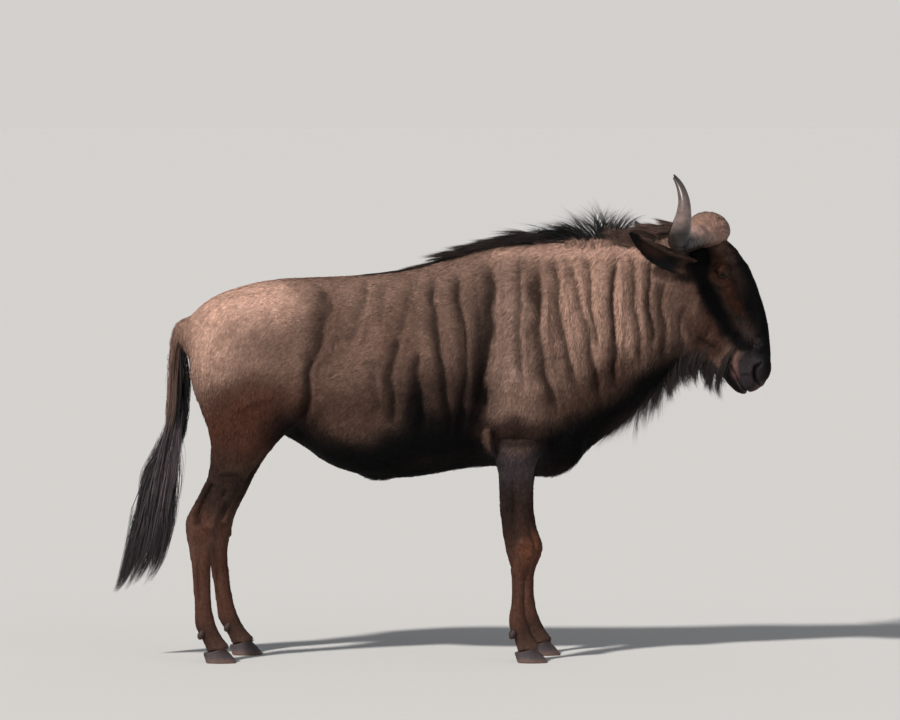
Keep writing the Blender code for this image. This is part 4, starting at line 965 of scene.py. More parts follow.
@dataclass(frozen=True)
class Pattern:
    """The steps that finishes share: a new node material, its shader, and noise at a set scale."""

    material: bpy.types.Material

    @staticmethod
    def start(name: str, roughness: float, specular: float = 0.5) -> "Pattern":
        """A new material with its constant values set on the shader's own sockets.

        Args:
            name: the material's name.
            roughness: how matt it is.
            specular: how strongly it reflects.

        Returns:
            The pattern, ready for its nodes.
        """
        material = bpy.data.materials.new(name)
        material.use_nodes = True
        pattern = Pattern(material)
        pattern.shader.inputs["Roughness"].default_value = roughness
        pattern.shader.inputs["Specular IOR Level"].default_value = specular
        return pattern

    @property
    def tree(self) -> bpy.types.NodeTree:
        """The material's node tree."""
        return self.material.node_tree

    @property
    def shader(self) -> bpy.types.Node:
        """The material's shader."""
        return self.tree.nodes["Principled BSDF"]

    def node(self, kind: str, **settings: object) -> bpy.types.Node:
        """Add a node.

        Args:
            kind: the node's type name.
            settings: its own properties.

        Returns:
            The node.
        """
        made = self.tree.nodes.new(kind)
        for name, value in settings.items():
            setattr(made, name, value)
        return made

    def link(self, source: bpy.types.NodeSocket, target: bpy.types.NodeSocket) -> None:
        """Join one socket to another."""
        self.tree.links.new(source, target)

    def mapped(self, stretch: Triple = (1.0, 1.0, 1.0), shift: Triple = (0.0, 0.0, 0.0),
               turn: Triple = (0.0, 0.0, 0.0)) -> bpy.types.NodeSocket:
        """Object coordinates, moved, turned and stretched.

        Args:
            stretch: the scale on each axis.
            shift: the move on each axis.
            turn: the turn about each axis.

        Returns:
            The socket that carries them.
        """
        place = self.node("ShaderNodeTexCoord")
        mapping = self.node("ShaderNodeMapping")
        mapping.inputs["Scale"].default_value = stretch
        mapping.inputs["Location"].default_value = shift
        mapping.inputs["Rotation"].default_value = turn
        self.link(place.outputs["Object"], mapping.inputs["Vector"])
        return mapping.outputs["Vector"]

    def noise(self, scale: float, detail: float = 3.0, where: bpy.types.NodeSocket | None = None,
              distortion: float = 0.0) -> bpy.types.NodeSocket:
        """A noise pattern.

        Args:
            scale: how fine it is, in waves to the metre.
            detail: how many finer layers it has.
            where: the coordinates, or None for plain Object coordinates.
            distortion: how much it swirls.

        Returns:
            The socket with the noise from 0 to 1.
        """
        made = self.node("ShaderNodeTexNoise")
        made.inputs["Scale"].default_value = scale
        made.inputs["Detail"].default_value = detail
        made.inputs["Distortion"].default_value = distortion
        self.link(where or self.mapped(), made.inputs["Vector"])
        return made.outputs["Fac"]

    def ramp(self, source: bpy.types.NodeSocket, stops: list[tuple[float, Array]]) -> bpy.types.NodeSocket:
        """A colour ramp.

        Args:
            source: the number that picks the colour.
            stops: places from 0 to 1 with their linear colours.

        Returns:
            The socket with the colour.
        """
        made = self.node("ShaderNodeValToRGB")
        elements = made.color_ramp.elements
        for end, (place, colour) in ((0, stops[0]), (1, stops[-1])):
            elements[end].position = place
            elements[end].color = (*colour, 1.0)
        for place, colour in stops[1:-1]:
            elements.new(place).color = (*colour, 1.0)
        self.link(source, made.inputs["Fac"])
        return made.outputs["Color"]

    def math(self, operation: str, first: bpy.types.NodeSocket,
             second: bpy.types.NodeSocket | float = 0.0) -> bpy.types.NodeSocket:
        """A sum on one or two values.

        Args:
            operation: the name of the sum.
            first: the first value.
            second: the second value.

        Returns:
            The socket with the result.
        """
        made = self.node("ShaderNodeMath", operation=operation)
        self.link(first, made.inputs[0])
        if isinstance(second, float):
            made.inputs[1].default_value = second
        else:
            self.link(second, made.inputs[1])
        return made.outputs[0]

    def mixed(self, mode: str, share: bpy.types.NodeSocket | float, first: bpy.types.NodeSocket | Array,
              second: bpy.types.NodeSocket | Array) -> bpy.types.NodeSocket:
        """A mix of two colours.

        Args:
            mode: the blend type.
            share: how much of the second there is.
            first: the first colour.
            second: the second colour.

        Returns:
            The socket with the mixed colour.
        """
        made = self.node("ShaderNodeMix", data_type="RGBA", blend_type=mode)
        for socket, value in ((made.inputs[0], share), (made.inputs[6], first), (made.inputs[7], second)):
            if isinstance(value, bpy.types.NodeSocket):
                self.link(value, socket)
            elif isinstance(value, float):
                socket.default_value = value
            else:
                socket.default_value = (*value, 1.0)
        return made.outputs[2]

    def colour(self, source: bpy.types.NodeSocket) -> None:
        """Send a colour to the shader."""
        self.link(source, self.shader.inputs["Base Color"])

    def bump(self, source: bpy.types.NodeSocket, strength: float, distance: float) -> None:
        """Send a height pattern to the shader, over any bump that is there.

        Args:
            source: the heights.
            strength: how strongly they act.
            distance: how high a step from 0 to 1 is, in metres.
        """
        made = self.node("ShaderNodeBump")
        made.inputs["Strength"].default_value = strength
        made.inputs["Distance"].default_value = distance
        target = self.shader.inputs["Normal"]
        if target.is_linked:
            self.link(target.links[0].from_socket, made.inputs["Normal"])
        self.link(source, made.inputs["Height"])
        self.link(made.outputs["Normal"], target)

    def attribute(self, name: str) -> bpy.types.Node:
        """A node that reads a named attribute of the mesh."""
        return self.node("ShaderNodeAttribute", attribute_name=name)


@dataclass(frozen=True)
class SkinFinish:
    """Hide with its short flat hair: the coat's colour, fine streaks along the lie, bare skin smoother."""

    name: str
    streaks: float = 240.0
    pores: float = 420.0

    def material(self) -> bpy.types.Material:
        """Build the finish.

        Returns:
            The material.
        """
        pattern = Pattern.start(self.name, 0.78, 0.12)
        coat = pattern.attribute(COAT_COLOUR).outputs["Color"]
        lying = pattern.mapped((0.55, 1.0, 0.22), turn=(0.0, 0.45, 0.0))
        hair = pattern.noise(self.streaks, 4.0, lying, 0.6)
        fine = pattern.noise(self.pores, 2.0)
        light = pattern.ramp(hair, [(0.28, np.full(3, 0.62)), (0.72, np.full(3, 1.32))])
        pattern.colour(pattern.mixed("MULTIPLY", 1.0, coat, light))
        bare = pattern.attribute(BARE_SKIN).outputs["Fac"]
        pattern.link(pattern.math("MULTIPLY_ADD", bare, -0.36), pattern.shader.inputs["Roughness"])
        pattern.shader.inputs["Roughness"].links[0].from_node.inputs[2].default_value = 0.78
        pattern.bump(hair, 0.55, 0.0022)
        pattern.bump(fine, 0.25, 0.0008)
        return pattern.material


@dataclass(frozen=True)
class HairFinish:
    """Hair in tufts or long locks, coloured by the mesh."""

    name: str
    roughness: float
    specular: float
    sheen: float = 0.0

    def material(self) -> bpy.types.Material:
        """Build the finish.

        Returns:
            The material.
        """
        pattern = Pattern.start(self.name, self.roughness, self.specular)
        coat = pattern.attribute(COAT_COLOUR).outputs["Color"]
        uneven = pattern.noise(55.0, 3.0)
        light = pattern.ramp(uneven, [(0.30, np.full(3, 0.84)), (0.70, np.full(3, 1.16))])
        pattern.colour(pattern.mixed("MULTIPLY", 1.0, coat, light))
        pattern.bump(pattern.noise(900.0, 2.0, pattern.mapped((1.0, 1.0, 0.2))), 0.2, 0.0005)
        pattern.shader.inputs["Sheen Weight"].default_value = self.sheen
        pattern.shader.inputs["Sheen Roughness"].default_value = 0.4
        return pattern.material


@dataclass(frozen=True)
class HornFinish:
    """Horn: a rough, pitted, pinkish-brown boss that turns to smooth grey and then a dark tip, with painted shade on
    its underside.
    """

    name: str = "Horn"

    def material(self) -> bpy.types.Material:
        """Build the finish.

        Returns:
            The material.
        """
        pattern = Pattern.start(self.name, 0.5, 0.45)
        parts = pattern.node("ShaderNodeSeparateXYZ")
        pattern.link(pattern.mapped(), parts.inputs[0])
        aside = pattern.math("ABSOLUTE", parts.outputs["Y"])
        height = pattern.math("MULTIPLY_ADD", parts.outputs["Z"], 1.0)
        height.node.inputs[2].default_value = -1.45
        out = pattern.math("ADD", aside, pattern.math("MULTIPLY", pattern.noise(14.0), 0.04))
        base = pattern.ramp(pattern.math("MULTIPLY", out, 2.6), [
            (0.10, Pigment.BOSS.linear),
            (0.40, Pigment.BOSS.linear * 0.80),
            (0.62, Pigment.HORN.linear),
            (0.95, Pigment.HORN.linear * 0.85),
        ])
        tip = pattern.ramp(pattern.math("MULTIPLY", height, 5.6), [
            (0.0, np.full(3, 1.0)), (0.55, np.full(3, 0.66)), (0.98, np.full(3, 0.20)),
        ])
        # Darker towards the bottom of the horn, on its underside: painted shade.
        lifted = pattern.math("MULTIPLY_ADD", aside, -0.28)
        pattern.link(parts.outputs["Z"], lifted.node.inputs[2])
        under = pattern.math("MULTIPLY_ADD", lifted, 22.0)
        under.node.inputs[2].default_value = -22.0 * 1.352
        painted_underside_shade = pattern.ramp(under, [(0.0, np.full(3, 0.07)), (1.0, np.full(3, 1.0))])
        tone = pattern.mixed("MULTIPLY", 1.0, pattern.mixed("MULTIPLY", 1.0, base, tip), painted_underside_shade)
        grain = pattern.ramp(pattern.noise(60.0, 5.0, pattern.mapped((1.0, 0.5, 1.0)), 0.8), [
            (0.30, np.full(3, 0.70)), (0.70, np.full(3, 1.25)),
        ])
        pattern.colour(pattern.mixed("MULTIPLY", 1.0, tone, grain))
        pits = pattern.node("ShaderNodeTexVoronoi", feature="F1")
        pits.inputs["Scale"].default_value = 150.0
        pattern.link(pattern.mapped(), pits.inputs["Vector"])
        boss = pattern.ramp(pattern.math("MULTIPLY", aside, 5.0), [
            (0.20, np.full(3, 1.0)), (0.72, np.zeros(3)),
        ])
        pitting = pattern.math("MULTIPLY", pits.outputs["Distance"], boss)
        pattern.colour(pattern.mixed("MULTIPLY", boss, pattern.shader.inputs["Base Color"].links[0].from_socket,
                                     pattern.ramp(pits.outputs["Distance"], [
                                         (0.05, np.full(3, 1.40)), (0.60, np.full(3, 0.50)),
                                     ])))
        pattern.bump(pitting, 1.0, 0.0060)
        pattern.bump(pattern.noise(240.0, 4.0), 0.25, 0.0010)
        rough = pattern.ramp(pattern.math("MULTIPLY", aside, 5.0), [
            (0.15, np.full(3, 0.72)), (0.80, np.full(3, 0.33)),
        ])
        pattern.link(rough, pattern.shader.inputs["Roughness"])
        return pattern.material


@dataclass(frozen=True)
class HoofFinish:
    """Hoof horn: dark slate with growth rings and dusty wear at the sole."""

    name: str = "Hoof"

    def material(self) -> bpy.types.Material:
        """Build the finish.

        Returns:
            The material.
        """
        pattern = Pattern.start(self.name, 0.55, 0.35)
        parts = pattern.node("ShaderNodeSeparateXYZ")
        pattern.link(pattern.mapped(), parts.inputs[0])
        worn = pattern.math("MULTIPLY_ADD", parts.outputs["Z"], 16.0)
        worn.node.inputs[2].default_value = 0.0
        worn = pattern.math("ADD", worn, pattern.math("MULTIPLY", pattern.noise(50.0), 0.4))
        pattern.colour(pattern.ramp(worn, [
            (0.20, Pigment.GREY_BROWN.linear), (0.55, Pigment.SLATE.linear), (1.0, Pigment.DARK_BROWN.linear),
        ]))
        rings = pattern.node("ShaderNodeTexWave", wave_type="BANDS", bands_direction="Z")
        rings.inputs["Scale"].default_value = 90.0
        rings.inputs["Distortion"].default_value = 2.5
        pattern.link(pattern.mapped((1.0, 1.0, 1.0), turn=(0.0, -0.25, 0.0)), rings.inputs["Vector"])
        pattern.bump(rings.outputs["Fac"], 0.45, 0.0010)
        pattern.bump(pattern.noise(320.0, 3.0), 0.3, 0.0006)
        return pattern.material


@dataclass(frozen=True)
class EyeFinish:
    """A wet dark eye under a clear bright surface, coloured by its mesh."""

    name: str

    def material(self) -> bpy.types.Material:
        """Build the finish.

        Returns:
            The material.
        """
        pattern = Pattern.start(self.name, 0.25, 0.06)
        fibres = pattern.ramp(pattern.noise(700.0, 3.0), [(0.30, np.full(3, 0.75)), (0.70, np.full(3, 1.20))])
        coat = pattern.attribute(COAT_COLOUR).outputs["Color"]
        pattern.colour(pattern.mixed("MULTIPLY", 1.0, coat, fibres))
        pattern.shader.inputs["Coat Weight"].default_value = 0.12
        pattern.shader.inputs["Coat Roughness"].default_value = 0.06
        return pattern.material


@dataclass
class Hide:
    """The one skin of the animal, from its nose to the dock of its tail and down to the coronets."""

    body_voxel: float = 0.0105
    head_voxel: float = 0.0042
    body_smoothing: int = 13
    head_smoothing: int = 8
    coat_depth: float = 0.0050
    face_depth: float = 0.0018
    leg_depth: float = 0.0025
    lid_thickness: float = 0.0040
    eye_length: float = 0.045
    eye_above: float = 0.0068
    eye_below: float = 0.0072
    lid_drop: float = 0.0105
    most_triangles: int = 188000
    item: bpy.types.Object = field(init=False)
    surface: Surface = field(init=False)

    NODES = ("torso", "neck", "head", "tail_dock") + tuple(
        f"{name}_{side.label}" for side in Side
        for name in ("upper_arm", "forearm", "fore_cannon", "fore_foot", "thigh", "shank", "hind_cannon", "hind_foot")
    )

    def build(self) -> None:
        """Model the skin and put it in the place of the nodes of flesh."""
        forms = [loft("Trunk", TRUNK, 40), loft("Skull", HEAD, 36), swept("Dock", DOCK, 16, 4)]
        for side in Side:
            ahead = side is Side.LEFT
            forms.append(loft("Hind leg", HIND_LEG, 28, HIND_STEP * ahead, HIND_STEP_TOP, side.value))
            forms.append(loft("Fore leg", FORE_LEG, 28, FORE_STEP * ahead, FORE_STEP_TOP, side.value))
        forms += swelling_forms(BODY_SWELLINGS + HEAD_SWELLINGS)
        self.item = melded(joined("skin", forms), self.body_voxel, self.body_smoothing)
        skull = [loft("Skull", HEAD, 48), loft("Nape", TRUNK[-5:], 40)] + swelling_forms(HEAD_SWELLINGS)
        guide = melded(joined("Head guide", skull), self.head_voxel, self.head_smoothing)
        self.refine(lambda x, y, z: (x > -0.52) & (x < 0.745) & (z > 0.72) & (z < 1.41) & (y > 0.05))
        self.refine(lambda x, y, z: (z > 0.10) & (z < 0.64))
        self.refine(lambda x, y, z: (x > 0.745) & (z > 0.86))
        self.fit_to(guide)
        self.refine(lambda x, y, z: self.fine_face(x, y, z))
        self.fit_to(guide)
        self.refine(lambda x, y, z: self.eye_reach(x, y, z) < 0.040)
        bpy.data.objects.remove(guide, do_unlink=True)
        self.surface = Surface(self.item)
        self.carve_body()
        self.carve_face()
        self.thin()
        self.refine(lambda x, y, z: self.eye_reach(x, y, z) < 0.034)
        self.surface.read()
        self.open_eyes()
        self.colour()
        self.item.data.materials.clear()
        self.item.data.materials.append(SkinFinish("Hide").material())
        self.item.data.shade_smooth()
        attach(self.item, BODY)
        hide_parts(*self.NODES)

    def thin(self) -> None:
        """Merge faces where the skin is smooth, so that the piece stays under its limit."""
        count = sum(len(face.vertices) - 2 for face in self.item.data.polygons)
        fewer = self.item.modifiers.new("Fewer", "DECIMATE")
        fewer.ratio = min(1.0, self.most_triangles / count)
        apply_modifiers(self.item)

    @staticmethod
    def eye_reach(x: Array, y: Array, z: Array) -> Array:
        """The distance of places from the middle of the eye, seen from the side."""
        return np.hypot(x - EYE_CENTRE[0], z - EYE_CENTRE[2]) + (y < 0.03) * 1.0

    def fine_face(self, x: Array, y: Array, z: Array) -> Array:
        """Where the face needs the finest mesh: round the eyes, nose and mouth."""
        muzzle = (x > 0.93) & (z < 1.05)
        return muzzle | (self.eye_reach(x, y, z) < 0.060)

    def refine(self, wanted: Callable[[Array, Array, Array], Array]) -> None:
        """Halve the faces in a part of the skin.

        Args:
            wanted: says from X, distance aside and Z whether a face is in it.
        """
        shape = bmesh.new()
        shape.from_mesh(self.item.data)
        centres = np.array([face.calc_center_median() for face in shape.faces])
        chosen = wanted(centres[:, 0], np.abs(centres[:, 1]), centres[:, 2])
        edges = {edge for face, is_in in zip(shape.faces, chosen) if is_in for edge in face.edges}
        bmesh.ops.subdivide_edges(shape, edges=list(edges), cuts=1, use_grid_fill=True)
        many = [face for face in shape.faces if len(face.verts) > 4]
        bmesh.ops.triangulate(shape, faces=many)
        shape.to_mesh(self.item.data)
        shape.free()

    def fit_to(self, guide: bpy.types.Object) -> None:
        """Lay the skin of the head on the finer form of the head.

        Args:
            guide: the finer form.
        """
        shape = bmesh.new()
        shape.from_mesh(guide.data)
        tree = BVHTree.FromBMesh(shape)
        shape.free()
        skin = Surface(self.item)
        share = smooth_step(0.76, 0.84, skin.points[:, 0]) * (skin.points[:, 2] > 0.84)
        for index in np.nonzero(share > 0.0)[0]:
            near = tree.find_nearest(Vector(skin.points[index]))[0]
            skin.points[index] += (np.array(near) - skin.points[index]) * share[index]
        skin.write()

    def carve_body(self) -> None:
        """Raise the muscles, sink the folds and take the coat's depth off the skin."""
        skin = self.surface
        x, y, z = stance(skin.points)
        heights = np.zeros(len(x))
        for crease in FOLDS + RELIEF:
            heights += crease.rise(x, y, z)
        rough = lattice_noise(skin.points * np.array([1.0, 1.0, 0.45]), 0.028, 7) * 0.0022
        neck = smooth_step(-0.10, 0.20, x) * smooth_step(0.80, 0.72, x) * smooth_step(0.75, 0.90, z)
        heights += rough * neck
        heights -= self.depth_at(x, z)
        skin.raise_by(heights)
        x, _, z = stance(skin.points)
        foot = np.where(x < -0.2, -0.742, 0.302)
        coronet = 0.048 + 0.26 * (x - foot)
        low = (z < coronet) & (z < 0.12)
        shift = skin.points[:, 0] - x
        skin.points[:, 0] = np.where(low, foot + shift + (x - foot) * 0.62, skin.points[:, 0])
        skin.points[:, 1] = np.where(low, np.sign(skin.points[:, 1]) * (0.136 + (y - 0.136) * 0.70), skin.points[:, 1])
        skin.points[low, 2] = (0.044 + 0.26 * 0.62 * (x - foot))[low]
        skin.write()

    def depth_at(self, x: Array, z: Array) -> Array:
        """How deep the skin lies under the outside of the coat.

        Args:
            x: places along the body.
            z: heights.

        Returns:
            The coat's depth there.
        """
        face = smooth_step(0.80, 0.92, x)
        leg = smooth_step(0.72, 0.50, z)
        depth = self.coat_depth + (self.leg_depth - self.coat_depth) * leg
        return depth + (self.face_depth - depth) * face

    def carve_face(self) -> None:
        """Give the head its bones and folds, the lips and the nostrils."""
        skin = self.surface
        x, y, z = stance(skin.points)
        front = x > 0.78
        heights = np.zeros(len(x))
        for crease in FACE:
            heights += crease.rise(x, y, z)
        for path, width, height in ((UPPER_LIP, 0.010, 0.0030), (LOWER_LIP, 0.009, 0.0030)):
            gap, _ = path_distance(x, z, path)
            heights += height * np.exp(-((gap / width) ** 2))
        gap, along = path_distance(x, z, MOUTH_LINE)
        heights -= 0.0085 * np.exp(-((gap / 0.0034) ** 2)) * smooth_step(1.0, 0.9, along)
        gap, along = path_distance(x, z, NOSTRIL_RIM)
        heights += 0.0035 * np.exp(-((gap / 0.0060) ** 2)) * np.sin(math.pi * along)
        gap, along = path_distance(x, z, NOSTRIL_ARC)
        pit = np.exp(-((gap / 0.0058) ** 4)) * np.sin(math.pi * np.clip(along, 0.04, 0.96)) ** 0.5
        heights -= 0.0130 * pit * (y > 0.012)
        skin.raise_by(heights * front)

    def eye_frame(self, side: Side) -> tuple[Array, Array, Array, Array]:
        """The eye's middle, and its ways out, forward and up.

        Args:
            side: which eye.

        Returns:
            The middle, then three unit vectors.
        """
        sign = side.value
        outward = unit(np.array([0.16, sign * 1.0, 0.06]))
        forward = np.array([0.88, 0.0, -0.47])
        forward = unit(forward - outward * forward.dot(outward))
        upward = np.cross(outward, forward) * -sign
        return np.array([EYE_CENTRE[0], sign * EYE_CENTRE[1], EYE_CENTRE[2]]), outward, forward, upward

    def almond(self, count: int) -> Array:
        """The edge of the eye's opening, as places forward and up.

        Args:
            count: how many points it has.

        Returns:
            The points.
        """
        turn = 2 * math.pi * np.arange(count) / count
        height = np.where(np.sin(turn) > 0, self.eye_above, -self.eye_below)
        return np.stack([np.cos(turn) * self.eye_length / 2, height * np.sin(turn) ** 2 - self.lid_drop], axis=1)

    def open_eyes(self) -> None:
        """Wrap the lids round each eyeball, cut the opening and turn the lids' edges in."""
        ball = EYE_RADIUS + self.lid_thickness
        for side in Side:
            centre, outward, forward, upward = self.eye_frame(side)
            skin = self.surface
            offset = skin.points - centre
            ahead, above, out = offset @ forward, offset @ upward, offset @ outward
            reach = np.hypot(ahead / 0.040, above / 0.034)
            share = smooth_step(1.0, 0.50, reach) * (out > 0)
            rest = np.maximum(ball ** 2 - ahead ** 2 - above ** 2, 0.0)
            target = np.where(rest > 0, np.sqrt(rest), out)
            skin.points += outward * ((target - out) * share)[:, None]
            skin.write()
            self.cut_opening(side, ball)
            self.surface.read()

    def cut_opening(self, side: Side, ball: float) -> None:
        """Open the skin over one eye and give the lids their thickness.

        Args:
            side: which eye.
            ball: the radius of the outside of the lids.
        """
        centre, outward, forward, upward = self.eye_frame(side)
        edge = self.almond(240)
        shape = bmesh.new()
        shape.from_mesh(self.item.data)
        inside = []
        for face in shape.faces:
            offset = np.array(face.calc_center_median()) - centre
            ahead, above, out = offset @ forward, offset @ upward, offset @ outward
            half = self.eye_length / 2
            above += self.lid_drop
            limit = (self.eye_above if above > 0 else self.eye_below) * max(0.0, 1 - (ahead / half) ** 2)
            if out > 0 and abs(ahead) < half and abs(above) < limit:
                inside.append(face)
        bmesh.ops.delete(shape, geom=inside, context="FACES")
        rim = [edge_ for edge_ in shape.edges if edge_.is_boundary
               and (np.array(edge_.verts[0].co) - centre) @ outward > 0
               and np.linalg.norm(np.array(edge_.verts[0].co) - centre) < 0.05]
        for vertex in {vertex for edge_ in rim for vertex in edge_.verts}:
            offset = np.array(vertex.co) - centre
            flat = np.array([offset @ forward, offset @ upward])
            near = edge[np.argmin(np.linalg.norm(edge - flat, axis=1))]
            vertex.co = self.on_ball(centre, (forward, upward, outward), near, ball)
        for grow, radius in ((0.96, EYE_RADIUS + 0.0010), (1.12, EYE_RADIUS - 0.0030)):
            made = bmesh.ops.extrude_edge_only(shape, edges=rim)["geom"]
            for vertex in (piece for piece in made if isinstance(piece, bmesh.types.BMVert)):
                offset = np.array(vertex.co) - centre
                flat = np.array([offset @ forward, offset @ upward + self.lid_drop]) * grow
                flat[1] -= self.lid_drop
                vertex.co = self.on_ball(centre, (forward, upward, outward), flat, radius)
            rim = [piece for piece in made if isinstance(piece, bmesh.types.BMEdge)]
        bmesh.ops.recalc_face_normals(shape, faces=shape.faces)
        shape.to_mesh(self.item.data)
        shape.free()

    @staticmethod
    def on_ball(centre: Array, ways: tuple[Array, Array, Array], flat: Array, radius: float) -> Vector:
        """A place on a ball round the eye's middle.

        Args:
            centre: the eye's middle.
            ways: the ways forward, up and out.
            flat: how far forward and up the place is.
            radius: the ball's radius.

        Returns:
            The place.
        """
        out = math.sqrt(max(radius ** 2 - float(flat @ flat), 0.0))
        return Vector(centre + ways[0] * flat[0] + ways[1] * flat[1] + ways[2] * out)

    def colour(self) -> None:
        """Store the coat's colours and the bare places on the skin."""
        skin = self.surface
        mesh = self.item.data
        x, y, z = stance(skin.points)
        # The skin is painted a fifth darker than the hair: painted shade among the tufts.
        colours = coat_colours(skin.points) * 0.80
        bare = np.zeros(len(x))
        gap, _ = path_distance(x, z, MOUTH_LINE)
        bare = np.maximum(bare, np.exp(-((gap / 0.012) ** 2)) * (x > 0.93))
        gap, _ = path_distance(x, z, NOSTRIL_ARC)
        bare = np.maximum(bare, np.exp(-((gap / 0.014) ** 2)) * (x > 0.98))
        for side in Side:
            centre, outward, forward, upward = self.eye_frame(side)
            offset = skin.points - centre
            reach = np.hypot((offset @ forward) / 0.026, (offset @ upward + self.lid_drop) / 0.0115)
            lid = smooth_step(1.20, 0.80, reach) * (offset @ outward > 0)
            bare = np.maximum(bare, lid)
            colours *= (1.0 - 0.75 * lid)[:, None]
        # Darken the nostril's pit and the line of the mouth: painted shade in these hollows.
        gap, along = path_distance(x, z, NOSTRIL_ARC)
        colours *= (1.0 - 0.9 * np.exp(-((gap / 0.0060) ** 2)) * (x > 1.0))[:, None]
        gap, along = path_distance(x, z, MOUTH_LINE)
        colours *= (1.0 - 0.8 * np.exp(-((gap / 0.0040) ** 2)) * (x > 0.95))[:, None]
        paint(self.item, colours)
        values = mesh.attributes.new(BARE_SKIN, "FLOAT", "POINT")
        values.data.foreach_set("value", bare)


@dataclass(frozen=True)
class CoatSpot:
    """How the short hair lies at one place: its way, length and width, how far it lifts, and how dense it is."""

    place: Triple
    way: Triple
    length: float
    width: float = 0.0018
    lift: float = 0.15
    density: float = 1.0


